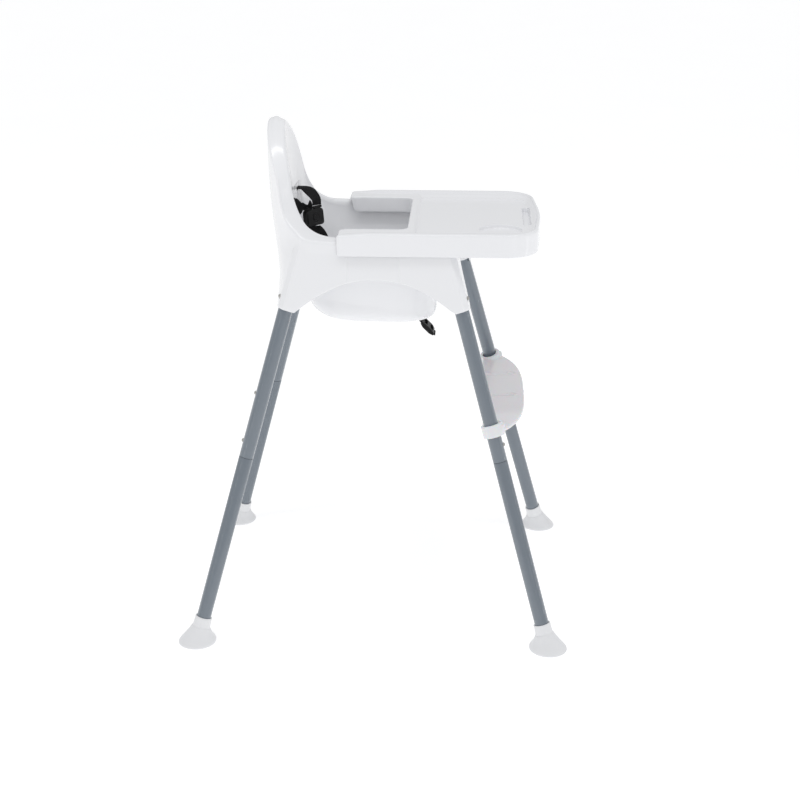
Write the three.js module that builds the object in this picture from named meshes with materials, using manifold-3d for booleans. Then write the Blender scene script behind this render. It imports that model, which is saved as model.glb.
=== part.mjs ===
// Baby high chair: one moulded bucket seat on four two-part tube legs, with a lift-off tray,
// a footrest between the front legs, snap-button clips in the legs and a three-point harness.
// Millimetres, +Z up, the seat faces -Y, and the origin is on the floor under the middle of the chair.
import * as THREE from "three";
import { mergeVertices } from "three/addons/utils/BufferGeometryUtils.js";
import Module from "manifold-3d";

const wasm = await Module();
wasm.setup();

// ---- driving dimensions ----
const FOOT_X = 273; // each leg's axis meets the floor here
const FOOT_Y = 316;
const LEAN_X = 0.165; // each leg's lean towards the middle, per mm of height
const LEAN_Y = 0.273;
const TUBE_R = 12.7;
const TUBE_WALL = 1.2;
const SPIGOT_R = 11.2; // the lower tube's reduced end, inside the upper tube
const SEAM_Z = 337; // where the upper tube ends on the lower one
const SPIGOT_LENGTH = 130;
const SOCKET_Z = 598; // bottom of the seat's leg sockets, on the leg's axis
const TUBE_TOP_Z = 690;
const SOCKET_TOP_Z = 699; // closed end of a socket
const SOCKET_R = 16; // outside of a socket
const SOCKET_BORE_R = 13;
const WALL = 3; // moulded wall thickness
const GAP = 0.3; // gap left between pieces that touch
const SKIRT_R = 16.6; // corner radius of the seat's skirt, round the leg's axis
const SEAT_Z = 554; // top of the seat in its middle
const BACK_SLOT_Z = 764;
const BACK_SLOT_X = 45;
const CROTCH_SLOT_Y = -56;
const WAIST_WEBBING = 22;
const CROTCH_WEBBING = 30;
const WEBBING_THICK = 1.6;
const SLOT_ROOM = 5; // how much longer a slot is than its webbing is wide

// ---- materials ----
const plastic = (color, roughness) => new THREE.MeshStandardMaterial({ color, roughness, metalness: 0 });
const MATERIALS = {
  shell: plastic(0xe9ebef, 0.3),
  tray: plastic(0xeaecf0, 0.28),
  white_trim: plastic(0xdcdde1, 0.4),
  leg_paint: new THREE.MeshStandardMaterial({ color: 0x7b858e, roughness: 0.35, metalness: 0.3 }),
  webbing: plastic(0x141416, 0.85),
  black_plastic: plastic(0x18181a, 0.45),
  spring_steel: new THREE.MeshStandardMaterial({ color: 0xa8a8a4, roughness: 0.3, metalness: 1 }),
};

// ---- solids ----
// A closed geometry as a manifold solid, and back.
function solidOf(geometry) {
  const bare = geometry.index ? geometry.toNonIndexed() : geometry.clone();
  for (const name of Object.keys(bare.attributes)) {
    if (name !== "position") bare.deleteAttribute(name);
  }
  const merged = mergeVertices(bare, 1e-4);
  return new wasm.Manifold(
    new wasm.Mesh({
      numProp: 3,
      vertProperties: merged.attributes.position.array,
      triVerts: new Uint32Array(merged.index.array),
    }),
  );
}

function geometryOf(solid) {
  const mesh = solid.getMesh();
  const positions = new Float32Array(mesh.numVert * 3);
  for (let i = 0; i < mesh.numVert; i++) {
    positions.set(mesh.vertProperties.subarray(i * mesh.numProp, i * mesh.numProp + 3), i * 3);
  }
  const geometry = new THREE.BufferGeometry();
  geometry.setAttribute("position", new THREE.BufferAttribute(positions, 3));
  geometry.setIndex(new THREE.BufferAttribute(new Uint32Array(mesh.triVerts), 1));
  geometry.computeVertexNormals();
  return geometry;
}

const union = (solids) => solids.reduce((a, b) => a.add(b));
const cut = (solid, cutters) => cutters.reduce((a, b) => a.subtract(b), solid);

// A closed solid through rings of points, each ring listed the same way round, with flat ends.
function loft(rings) {
  const count = rings[0].length;
  const points = rings.flat();
  const faces = [];
  for (let r = 0; r + 1 < rings.length; r++) {
    for (let i = 0; i < count; i++) {
      const a = r * count + i;
      const b = r * count + ((i + 1) % count);
      faces.push(a, b, b + count, a, b + count, a + count);
    }
  }
  const middle = (ring) => ring.reduce((sum, p) => sum.add(p), new THREE.Vector3()).divideScalar(count);
  points.push(middle(rings[0]), middle(rings[rings.length - 1]));
  const last = (rings.length - 1) * count;
  for (let i = 0; i < count; i++) {
    const next = (i + 1) % count;
    faces.push(points.length - 2, next, i, points.length - 1, last + i, last + next);
  }
  const geometry = new THREE.BufferGeometry().setFromPoints(points);
  geometry.setIndex(faces);
  return geometry;
}

// A solid of a plan outline between two heights.
function slab(shape, low, high) {
  const geometry = new THREE.ExtrudeGeometry(shape, {
    depth: high - low,
    bevelEnabled: false,
    curveSegments: 5,
  });
  return solidOf(geometry.translate(0, 0, low));
}

function box(width, depth, height, x, y, z) {
  return solidOf(new THREE.BoxGeometry(width, depth, height).translate(x, y, z));
}

// A cylinder along Z from low to high, about the Z axis.
function column(radius, low, high, sides = 16) {
  const geometry = new THREE.CylinderGeometry(radius, radius, high - low, sides);
  return solidOf(geometry.rotateX(Math.PI / 2).translate(0, 0, (low + high) / 2));
}

const model = new THREE.Group();

function add(name, material, geometry, parent = model) {
  const mesh = new THREE.Mesh(geometry, MATERIALS[material]);
  mesh.name = name;
  parent.add(mesh);
  return mesh;
}

// ---- legs ----
// Each leg is modelled along +Z from where its axis meets the floor, and its group leans it into place.
const LEG_STRETCH = Math.hypot(1, LEAN_X, LEAN_Y);
const along = (z) => z * LEG_STRETCH; // distance up the leg at height z
const legAxis = (z) => ({ x: FOOT_X - LEAN_X * z, y: FOOT_Y - LEAN_Y * z });
const LEGS = [
  { name: "front_left", x: 1, y: -1 },
  { name: "front_right", x: -1, y: -1 },
  { name: "rear_left", x: 1, y: 1 },
  { name: "rear_right", x: -1, y: 1 },
];

function legGroup(leg) {
  const group = new THREE.Group();
  const up = new THREE.Vector3(-leg.x * LEAN_X, -leg.y * LEAN_Y, 1).normalize();
  // the button's way out: square to the leg, towards the chair's front or rear
  const out = new THREE.Vector3(0, leg.y, 0).addScaledVector(up, -leg.y * up.y).normalize();
  const side = new THREE.Vector3().crossVectors(out, up);
  group.quaternion.setFromRotationMatrix(new THREE.Matrix4().makeBasis(side, out, up));
  group.position.set(leg.x * FOOT_X, leg.y * FOOT_Y, 0);
  group.updateMatrixWorld(true);
  model.add(group);
  return group;
}

// A hollow turned piece from outer and inner [radius, height] corners, bottom to top.
function turned(outer, inner, sides = 16) {
  const profile = [...outer, ...[...inner].reverse(), outer[0]];
  const geometry = new THREE.LatheGeometry(
    profile.map(([r, z]) => new THREE.Vector2(r, z)),
    sides,
  );
  return solidOf(geometry.rotateX(Math.PI / 2));
}

// Snap buttons: each sits on one leaf of a V-shaped spring clip inside the tube.
const BUTTON_R = 3.4;
const CLIP_ARM = 45; // from the clip's bend to its button
const JOINT_BUTTON = { tip: TUBE_R + 3, bend: -1, shift: 0.5, slack: 0.8 };
const SOCKET_BUTTON = { tip: SKIRT_R + 1.6, bend: 1, shift: 0.9, slack: 1.2 };
const LOW_BUTTON_Z = 364;
const HIGH_BUTTON_Z = 448;
const SOCKET_BUTTON_Z = 616;

// A button's hole in a tube or socket. It is a little long, because the button swings on its leaf.
function buttonHole(kind, z, reach) {
  const hole = new THREE.CylinderGeometry(BUTTON_R + kind.slack, BUTTON_R + kind.slack, reach - 4, 10);
  return solidOf(hole.translate(0, (reach + 4) / 2, along(z) - kind.bend * kind.shift));
}

// One leaf of the clip, from near the bend to past the button. Side 1 carries the button.
function clipLeaf(kind, z, side) {
  const thick = 0.8;
  const wide = 7;
  const start = side > 0 ? 5 : 0;
  const end = CLIP_ARM + 5;
  const spread = 7.6 / CLIP_ARM; // the leaf's slope away from the tube's axis
  const at = (d) => new THREE.Vector3(0, side * spread * d, along(z) + kind.bend * (CLIP_ARM - d));
  const ring = (d) => {
    const p = at(d);
    const half = wide / 2;
    return [
      new THREE.Vector3(-half, p.y - thick / 2, p.z),
      new THREE.Vector3(half, p.y - thick / 2, p.z),
      new THREE.Vector3(half, p.y + thick / 2, p.z),
      new THREE.Vector3(-half, p.y + thick / 2, p.z),
    ];
  };
  const rings = [ring(start), ring(end)];
  return solidOf(loft(kind.bend > 0 ? rings.reverse() : rings));
}

function snapClip(group, name, kind, z) {
  const dome = [
    [0, 7.6],
    [BUTTON_R, 7.6],
    [BUTTON_R, kind.tip - 1.4],
    [BUTTON_R * 0.72, kind.tip - 0.4],
    [0, kind.tip],
  ];
  const button = new THREE.LatheGeometry(
    dome.map(([r, y]) => new THREE.Vector2(r, y)),
    8,
  );
  const moving = clipLeaf(kind, z, 1).add(solidOf(button.translate(0, 0, along(z))));
  add(`${name}_button`, "spring_steel", geometryOf(moving), group);
  add(`${name}_spring`, "spring_steel", geometryOf(clipLeaf(kind, z, -1)), group);
}

function upperTube(buttons) {
  const inner = TUBE_R - TUBE_WALL;
  const low = along(SEAM_Z) + GAP;
  const high = along(TUBE_TOP_Z);
  const tube = turned(
    [
      [TUBE_R, low],
      [TUBE_R, high],
    ],
    [
      [inner, low],
      [inner, high],
    ],
  );
  const holes = buttons.map((z) => buttonHole(JOINT_BUTTON, z, 20));
  return cut(tube, [...holes, buttonHole(SOCKET_BUTTON, SOCKET_BUTTON_Z, 20)]);
}

function lowerTube(buttons) {
  const low = along(12);
  const seam = along(SEAM_Z);
  const high = seam + SPIGOT_LENGTH;
  const tube = turned(
    [
      [TUBE_R, low],
      [TUBE_R, seam],
      [SPIGOT_R, seam + 0.1],
      [SPIGOT_R, high],
    ],
    [
      [TUBE_R - TUBE_WALL, low],
      [TUBE_R - TUBE_WALL, seam - 6],
      [SPIGOT_R - TUBE_WALL, seam],
      [SPIGOT_R - TUBE_WALL, high],
    ],
  );
  return cut(
    tube,
    buttons.map((z) => buttonHole(JOINT_BUTTON, z, 20)),
  );
}

// A foot: a neck round the tube that flares out to a flat round base, built in the chair's frame.
const FOOT_BASE_R = 34;
const FOOT_TOP_Z = 47;
function foot(leg) {
  const up = new THREE.Vector3(-leg.x * LEAN_X, -leg.y * LEAN_Y, 1).normalize();
  const sides = 18;
  // a ring of the given radius round the leg's axis at height z, tilted by a share of the leg's lean
  const ring = (radius, z, tilt) => {
    const normal = new THREE.Vector3(0, 0, 1).lerp(up, tilt).normalize();
    const turn = new THREE.Quaternion().setFromUnitVectors(new THREE.Vector3(0, 0, 1), normal);
    const axis = legAxis(z);
    const centre = new THREE.Vector3(leg.x * axis.x, leg.y * axis.y, z);
    return Array.from({ length: sides }, (_, i) => {
      const angle = (i / sides) * 2 * Math.PI;
      const p = new THREE.Vector3(Math.cos(angle) * radius, Math.sin(angle) * radius, 0);
      return p.applyQuaternion(turn).add(centre);
    });
  };
  const body = solidOf(
    loft([
      ring(FOOT_BASE_R - 1.5, 0, 0),
      ring(FOOT_BASE_R, 3, 0),
      ring(25.5, 14, 0.3),
      ring(17.6, 27, 0.8),
      ring(15.6, 29, 1),
      ring(15.2, FOOT_TOP_Z, 1),
    ]),
  );
  const base = solidOf(loft([ring(26, -1, 0), ring(22, 4, 0)]));
  const socket = solidOf(loft([ring(TUBE_R + GAP, 11, 1), ring(TUBE_R + GAP, 70, 1)]));
  return cut(body, [base, socket]);
}

// ---- seat shell ----
// The shell is one sheet that goes round the chair. Half of it is described by columns: share 0 is the
// middle of the front, 1 the middle of the back. A column runs up the skirt, over the rim, down the tub
// and to the middle of the seat. Points here are for the chair's left, and are mirrored for its right.
const FRONT_END = 0.16; // shares where the front face, corners and side face end
const SIDE_START = 0.22;
const SIDE_END = 0.56;
const REAR_START = 0.62;
const CORNER = SIDE_START - FRONT_END;

// Where the rim runs: a share of the way round, the rim's inner edge and its outer lip.
const RIM_STATIONS = [
  [0, [0, -113, 716], [0, -138, 707]],
  [0.1, [80, -113, 716], [88, -138, 707]],
  [0.16, [112, -109, 716], [146, -139, 707]],
  [0.19, [126, -101, 717], [167, -131, 708]],
  [0.22, [138, -87, 717], [174, -115, 709]],
  [0.28, [149, -58, 718], [175, -66, 710]],
  [0.39, [151, 0, 719], [175, 0, 710]],
  [0.5, [150, 66, 720], [175, 68, 710]],
  [0.56, [144, 95, 724], [173, 117, 712]],
  [0.62, [134, 117, 735], [165, 133, 723]],
  [0.67, [125, 129, 748], [150, 150, 741]],
  [0.76, [112, 146, 785], [129, 165, 787]],
  [0.84, [96, 156, 830], [107, 175, 828]],
  [0.9, [65, 165, 872], [72, 188, 864]],
  [0.95, [33, 170, 893], [37, 194, 885]],
  [1, [0, 172, 903], [0, 196, 893]],
];
const rimCurve = (which) =>
  new THREE.CatmullRomCurve3(
    RIM_STATIONS.map((station) => new THREE.Vector3(...station[which])),
    false,
    "centripetal",
  );
const RIM_LINE = rimCurve(1);
const LIP_LINE = rimCurve(2);

function readCurve(line, share) {
  const last = RIM_STATIONS.length - 1;
  const found = RIM_STATIONS.findIndex(([at]) => at >= share);
  const i = Math.max(1, found < 0 ? last : found);
  const [from, to] = [RIM_STATIONS[i - 1][0], RIM_STATIONS[i][0]];
  return line.getPoint((i - 1 + (share - from) / (to - from)) / last);
}

// A point of the skirt at height z. Its corners stay round the legs' axes, and its rear bulges.
function skirtPoint(share, z) {
  const leg = legAxis(z);
  const faceY = leg.y + SKIRT_R;
  if (share < FRONT_END) return new THREE.Vector3((leg.x * share) / FRONT_END, -faceY, z);
  if (share < SIDE_START) {
    const angle = (((share - FRONT_END) / CORNER) * Math.PI) / 2;
    return new THREE.Vector3(leg.x + SKIRT_R * Math.sin(angle), -leg.y - SKIRT_R * Math.cos(angle), z);
  }
  if (share < SIDE_END) {
    const within = (share - SIDE_START) / (SIDE_END - SIDE_START);
    return new THREE.Vector3(leg.x + SKIRT_R, leg.y * (2 * within - 1), z);
  }
  if (share < REAR_START) {
    const angle = (((share - SIDE_END) / CORNER) * Math.PI) / 2;
    return new THREE.Vector3(leg.x + SKIRT_R * Math.cos(angle), leg.y + SKIRT_R * Math.sin(angle), z);
  }
  const within = (1 - share) / (1 - REAR_START);
  const rearY = 180 + 0.12 * Math.max(0, z - 640);
  return new THREE.Vector3(leg.x * within, faceY + (rearY - faceY) * (1 - within * within), z);
}

// Height of the skirt's lower edge: square to the leg round each socket, and an arch between each two.
function skirtFoot(share) {
  const p = skirtPoint(share, SOCKET_Z);
  const leg = legAxis(SOCKET_Z);
  const socket = SOCKET_Z + LEAN_X * (p.x - leg.x) + LEAN_Y * (Math.abs(p.y) - leg.y);
  const arch = (top, across, half, drop, power) => {
    return Math.max(socket, top - drop * Math.pow(Math.abs(across) / half, power));
  };
  if (share < FRONT_END) return arch(694, p.x, 157, 96, 6);
  if (share < SIDE_START) return socket;
  if (share < SIDE_END) return arch(653.5, p.y + 3, 139, 57, 2.4);
  if (share < REAR_START) return socket;
  return arch(648, p.x, 157, 52, 2.4);
}

const TUB_SQUARENESS = 3.4; // 2 would make the tub's plan an ellipse
// A point of a rounded plan outline at the given bearing from the seat's middle.
function tubPoint(bearing, halfWidth, front, rear, z) {
  const reach = bearing.y < 0 ? front : rear;
  const acrossShare = Math.pow(Math.abs(bearing.x) / halfWidth, TUB_SQUARENESS);
  const lengthShare = Math.pow(Math.abs(bearing.y) / reach, TUB_SQUARENESS);
  const scale = Math.pow(acrossShare + lengthShare, -1 / TUB_SQUARENESS);
  return bearing.clone().setZ(0).multiplyScalar(scale).setZ(z);
}

const SKIRT_TOP_Z = 696;
const SKIRT_ROWS = 2;
const UPPER_ROWS = 4;
const TUB_ROWS = 4;

function shellColumn(share) {
  const rim = readCurve(RIM_LINE, share);
  const lip = readCurve(LIP_LINE, share);
  const across = lip.clone().sub(rim).setZ(0);
  const width = across.length();
  const out = across.divideScalar(width);
  const bearing = rim.clone().setZ(0).normalize();
  const low = skirtFoot(share);
  const points = [];
  for (let i = 0; i < SKIRT_ROWS; i++) {
    points.push(skirtPoint(share, low + ((SKIRT_TOP_Z - low) * i) / SKIRT_ROWS));
  }
  // from the skirt to the lip: short at the armrests, tall up the back
  const start = skirtPoint(share, SKIRT_TOP_Z);
  const lean = skirtPoint(share, SKIRT_TOP_Z + 1).sub(start);
  const rise = lip.z - start.z;
  const bendRise = rise * 0.45;
  const below = lip.clone().setZ(start.z + bendRise);
  const bend = start.clone().addScaledVector(lean, bendRise).lerp(below, 0.3);
  const flank = new THREE.QuadraticBezierCurve3(start, bend, lip);
  for (let i = 0; i < UPPER_ROWS; i++) points.push(flank.getPoint(i / UPPER_ROWS));
  // over the rim, from the lip to the tub
  const from = (inset, z) => lip.clone().addScaledVector(out, -inset).setZ(z);
  const round = Math.min(8, 0.5 * Math.abs(rim.z - lip.z) + 1.5);
  const crest = Math.max(lip.z + 1.5, lip.z + (rim.z - lip.z) * 0.75);
  points.push(lip, from(0.3 * round, (lip.z + crest) / 2 + 1), from(round, crest));
  points.push(from(width - 2, rim.z), from(width + 4, rim.z - 3));
  // down the tub to the seat
  const back = Math.max(0, bearing.y);
  const ahead = Math.max(0, -bearing.y);
  const top = from(width + 6.5, rim.z - 10);
  const turn = tubPoint(bearing, 114, 103, 127, SEAT_Z + 32 + 14 * back - 18 * ahead);
  const flat = tubPoint(bearing, 84, 89, 68, SEAT_Z);
  const middle = top.clone().lerp(turn, 0.5);
  const wall = new THREE.QuadraticBezierCurve3(top, middle.addScaledVector(bearing, 3), turn);
  for (let i = 0; i < TUB_ROWS; i++) points.push(wall.getPoint(i / TUB_ROWS));
  const corner = tubPoint(bearing, 110, 100, 117, SEAT_Z + 0.5);
  const fillet = new THREE.QuadraticBezierCurve3(turn, corner, flat);
  for (let i = 0; i < 4; i++) points.push(fillet.getPoint(i / 3));
  return points;
}

function shellShares() {
  const stretch = (from, to, count) => {
    return Array.from({ length: count }, (_, i) => from + ((to - from) * i) / count);
  };
  return [
    ...stretch(0, FRONT_END, 4),
    ...stretch(FRONT_END, SIDE_START, 3),
    ...stretch(SIDE_START, SIDE_END, 6),
    ...stretch(SIDE_END, REAR_START, 3),
    ...stretch(REAR_START, 1, 8),
    1,
  ];
}

// The sheet thickened to WALL on its hidden side.
function shellSheet() {
  const half = shellShares().map(shellColumn);
  const mirrored = half.slice(1, -1).reverse();
  const flip = (points) => points.map((p) => new THREE.Vector3(-p.x, p.y, p.z));
  const grid = [...half, ...mirrored.map(flip)];
  const columns = grid.length;
  const rows = grid[0].length;
  const at = (c, r) => grid[(c + columns) % columns][Math.min(rows - 1, Math.max(0, r))];
  const hidden = grid.map((points, c) =>
    points.map((p, r) => {
      const round = at(c + 1, r).clone().sub(at(c - 1, r));
      const rise = at(c, r + 1).clone().sub(at(c, r - 1));
      return p.clone().addScaledVector(round.cross(rise).normalize(), -WALL);
    }),
  );
  const points = [...grid.flat(), ...hidden.flat()];
  const middle = new THREE.Vector3(0, -8, SEAT_Z);
  points.push(middle, middle.clone().setZ(SEAT_Z - WALL));
  const shown = (c, r) => ((c + columns) % columns) * rows + r;
  const behind = (c, r) => grid.length * rows + shown(c, r);
  const faces = [];
  for (let c = 0; c < columns; c++) {
    for (let r = 0; r + 1 < rows; r++) {
      faces.push(shown(c, r), shown(c + 1, r), shown(c + 1, r + 1));
      faces.push(shown(c, r), shown(c + 1, r + 1), shown(c, r + 1));
      faces.push(behind(c, r), behind(c + 1, r + 1), behind(c + 1, r));
      faces.push(behind(c, r), behind(c, r + 1), behind(c + 1, r + 1));
    }
    faces.push(shown(c, rows - 1), shown(c + 1, rows - 1), points.length - 2);
    faces.push(behind(c, rows - 1), points.length - 1, behind(c + 1, rows - 1));
    faces.push(shown(c, 0), behind(c, 0), behind(c + 1, 0));
    faces.push(shown(c, 0), behind(c + 1, 0), shown(c + 1, 0));
  }
  const geometry = new THREE.BufferGeometry().setFromPoints(points);
  geometry.setIndex(faces);
  return solidOf(geometry);
}

// A rounded rectangle about (x, y).
function roundedRectangle(x, y, width, height, radius) {
  const shape = new THREE.Shape();
  const right = x + width / 2 - radius;
  const left = x - width / 2 + radius;
  const top = y + height / 2 - radius;
  const bottom = y - height / 2 + radius;
  shape.absarc(right, top, radius, 0, Math.PI / 2);
  shape.absarc(left, top, radius, Math.PI / 2, Math.PI);
  shape.absarc(left, bottom, radius, Math.PI, Math.PI * 1.5);
  shape.absarc(right, bottom, radius, Math.PI * 1.5, Math.PI * 2);
  shape.closePath();
  return shape;
}

// A leg opening through the tub's front wall, cut along Y.
function legOpening(side) {
  const shape = roundedRectangle(side * 62, 651, 80, 74, 20);
  const geometry = new THREE.ExtrudeGeometry(shape, { depth: 70, bevelEnabled: false, curveSegments: 4 });
  return solidOf(geometry.rotateX(Math.PI / 2).translate(0, -60, 0));
}

function seatShell(groups) {
  const inLeg = (group, solid) => solidOf(geometryOf(solid).applyMatrix4(group.matrixWorld));
  const socket = column(SOCKET_R, along(SOCKET_Z + 6), along(SOCKET_TOP_Z), 20);
  const bore = column(SOCKET_BORE_R, along(560), along(TUBE_TOP_Z + 2));
  const sockets = groups.map((group) => inLeg(group, socket));
  const bores = groups.map((group) => inLeg(group, bore));
  const holes = groups.map((group) => inLeg(group, buttonHole(SOCKET_BUTTON, SOCKET_BUTTON_Z, 40)));
  const slot = (x) => box(WAIST_WEBBING + SLOT_ROOM, 40, 6, x, 150, BACK_SLOT_Z);
  const crotchSlot = box(CROTCH_WEBBING + SLOT_ROOM, 13, 20, 0, CROTCH_SLOT_Y, SEAT_Z);
  return cut(union([shellSheet(), ...sockets]), [
    ...bores,
    ...holes,
    legOpening(1),
    legOpening(-1),
    slot(BACK_SLOT_X),
    slot(-BACK_SLOT_X),
    crotchSlot,
  ]);
}

// ---- tray ----
const TRAY_TOP_Z = 734;
const TRAY_LOW_Z = 694;
const TRAY_HALF = 182.5;
const TRAY_FRONT_Y = -290;
const TRAY_BOW = 8; // how far the front edge bows out
const TRAY_ARM_Y = 63; // rear end of the arms
const TRAY_BORDER_Z = 730.5; // top of the border inside the raised edge
const TRAY_FLOOR_Z = 724;
const TRAY_EDGE = 17; // width of the raised edge
const ARM_INNER_X = 129;
const ARM_INNER_Z = 702; // lower edge of the walls beside the child
const TRAY_RIB_Z = 720.6; // the ribs under the arms rest on the armrests here
const CUTOUT_Y = -56; // the front of the cut-out for the child
const CUP_R = 38;
const CUP_DEPTH = 5;
const SLOT_LENGTH = 138; // the slot for a card or tablet
const SLOT_WIDTH = 14;
const SLOT_DEPTH = 8;

// The tray's plan, moved inwards by inset.
function trayOutline(inset) {
  const half = TRAY_HALF - inset;
  const front = TRAY_FRONT_Y + TRAY_BOW + inset;
  const arm = TRAY_ARM_Y - inset;
  const inner = ARM_INNER_X + inset;
  const cutout = CUTOUT_Y - inset;
  const frontR = 58 - inset;
  const armR = 14 - inset / 2;
  const armOuterR = 6 - inset / 2;
  const cutR = 18 + inset;
  const shape = new THREE.Shape();
  shape.moveTo(half, arm - armOuterR);
  shape.absarc(half - armOuterR, arm - armOuterR, armOuterR, 0, Math.PI / 2);
  shape.absarc(inner + armR, arm - armR, armR, Math.PI / 2, Math.PI);
  shape.absarc(inner - cutR, cutout + cutR, cutR, 0, -Math.PI / 2, true);
  shape.absarc(-inner + cutR, cutout + cutR, cutR, -Math.PI / 2, -Math.PI, true);
  shape.absarc(-inner - armR, arm - armR, armR, 0, Math.PI / 2);
  shape.absarc(-half + armOuterR, arm - armOuterR, armOuterR, Math.PI / 2, Math.PI);
  shape.absarc(-half + frontR, front + frontR, frontR, Math.PI, Math.PI * 1.5);
  shape.quadraticCurveTo(0, front - 2 * TRAY_BOW, half - frontR, front);
  shape.absarc(half - frontR, front + frontR, frontR, -Math.PI / 2, 0);
  shape.closePath();
  return shape;
}

// The recessed floor's plan, ahead of the cut-out.
function trayFloor(grow) {
  const half = TRAY_HALF - 39 + grow;
  const front = TRAY_FRONT_Y + TRAY_BOW + 14 - grow;
  const rear = CUTOUT_Y - 14 + grow;
  const shape = new THREE.Shape();
  const frontR = 38 + grow;
  const rearR = 12 + grow;
  shape.moveTo(half, rear - rearR);
  shape.absarc(half - rearR, rear - rearR, rearR, 0, Math.PI / 2);
  shape.absarc(-half + rearR, rear - rearR, rearR, Math.PI / 2, Math.PI);
  shape.absarc(-half + frontR, front + frontR, frontR, Math.PI, Math.PI * 1.5);
  shape.quadraticCurveTo(0, front - 2 * TRAY_BOW, half - frontR, front);
  shape.absarc(half - frontR, front + frontR, frontR, -Math.PI / 2, 0);
  shape.closePath();
  return shape;
}

function tray() {
  const body = slab(trayOutline(0), TRAY_LOW_Z, TRAY_TOP_Z);
  const under = slab(trayOutline(WALL), TRAY_LOW_Z - 1, TRAY_FLOOR_Z - WALL);
  const rimHollow = cut(slab(trayOutline(WALL), TRAY_FLOOR_Z - WALL - 1, TRAY_BORDER_Z - WALL), [
    slab(trayFloor(WALL), TRAY_FLOOR_Z - WALL - 2, TRAY_TOP_Z),
  ]);
  const floor = slab(trayFloor(0), TRAY_FLOOR_Z, TRAY_TOP_Z + 1);
  // inside the raised edge, and over the rear ends of the arms, the top is a little lower
  const inside = 2 * (TRAY_HALF - TRAY_EDGE);
  const border = slab(roundedRectangle(0, -90, inside, 340, 44), TRAY_BORDER_Z, TRAY_TOP_Z + 1);
  const armTops = box(400, 60, 10, 0, TRAY_ARM_Y - 6, TRAY_BORDER_Z + 5);
  // recess for a cup at the front right corner, and a slot across the front for a card or tablet
  const cupX = -98;
  const cupY = -218;
  const cup = (radius, low, high) => column(radius, low, high, 24).translate([cupX, cupY, 0]);
  const slotX = 6;
  const slotY = -266;
  const slot = (grow, low, high) => {
    return slab(roundedRectangle(slotX, slotY, SLOT_LENGTH + grow, SLOT_WIDTH + grow, 3), low, high);
  };
  const cupLow = TRAY_FLOOR_Z - CUP_DEPTH;
  const slotLow = TRAY_FLOOR_Z - SLOT_DEPTH;
  // ribs that rest on the armrests
  const ribTop = TRAY_BORDER_Z - 1;
  const rib = box(48, WALL, ribTop - TRAY_RIB_Z, 0, 0, (ribTop + TRAY_RIB_Z) / 2);
  const ribs = [1, -1].flatMap((side) => [-30, 10, 40].map((y) => rib.translate([side * 155, y, 0])));
  const armEnds = [1, -1].map((side) => box(49, 30, 32, side * 154.5, TRAY_ARM_Y, TRAY_LOW_Z + 14));
  const wallCut = ARM_INNER_Z - TRAY_LOW_Z + 1;
  const innerWalls = box(2 * ARM_INNER_X + 8, 140, wallCut, 0, 6, ARM_INNER_Z - wallCut / 2);
  const hollowed = cut(body, [under, rimHollow, floor, border, armTops, innerWalls, ...armEnds]);
  const padded = union([
    hollowed,
    cup(CUP_R + WALL, cupLow - WALL, TRAY_FLOOR_Z - 1),
    slot(2 * WALL, slotLow - WALL, TRAY_FLOOR_Z - 1),
    ...ribs,
  ]);
  return cut(padded, [cup(CUP_R, cupLow, TRAY_TOP_Z), slot(0, slotLow, TRAY_TOP_Z)]);
}

// ---- footrest ----
// A thin plate with a short wall round it, between the front legs, and a collar round each leg.
const REST_TOP_Z = 396;
const REST_LOW_Z = 390;
const REST_TRAVEL = 30; // how far it can be pushed up the legs
const COLLAR_LOW_Z = 381;
const COLLAR_HIGH_Z = 402;
const COLLAR_WALL = 5;

function restOutline(inset) {
  const leg = legAxis(REST_TOP_Z);
  const half = leg.x + 4 - inset;
  const rear = -190 - inset;
  const front = -270 + inset;
  const shape = new THREE.Shape();
  shape.moveTo(-half, rear);
  shape.lineTo(half, rear);
  shape.lineTo(half, rear - 26);
  shape.bezierCurveTo(half - 30, front + 12, 110, front, 0, front);
  shape.bezierCurveTo(-110, front, -half + 30, front + 12, -half, rear - 26);
  shape.closePath();
  return shape;
}

// A collar's outside or its hole. Both are long towards the chair's middle, so that it can move up the
// legs, which come closer together there.
function collar(group, side, radius, low, high) {
  const slack = (REST_TRAVEL * LEAN_X + 1) * side;
  const hull = [];
  const sides = 20;
  for (const z of [low, high]) {
    const ring = [];
    for (let i = 0; i < sides; i++) {
      const angle = (i / sides) * 2 * Math.PI;
      const p = new THREE.Vector3(Math.cos(angle) * radius, Math.sin(angle) * radius, along(z));
      p.applyMatrix4(group.matrixWorld);
      if (p.x * side < legAxis(z).x) p.x -= slack;
      ring.push(p);
    }
    hull.push(ring);
  }
  return solidOf(loft(hull));
}

function footrest(frontGroups) {
  const plate = slab(restOutline(0), REST_LOW_Z, REST_TOP_Z);
  const under = slab(restOutline(WALL), REST_LOW_Z - 1, REST_TOP_Z - WALL);
  const ribs = [-35, 87].map((x) => box(3, 50, 2.4, x, -226, REST_TOP_Z - 0.3));
  const bore = TUBE_R + 2 * GAP;
  const collars = frontGroups.map(([group, side]) => {
    return collar(group, side, bore + COLLAR_WALL, COLLAR_LOW_Z, COLLAR_HIGH_Z);
  });
  const holes = frontGroups.map(([group, side]) => collar(group, side, bore, 340, 440));
  return cut(union([cut(plate, [under]), ...ribs, ...collars]), holes);
}

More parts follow.
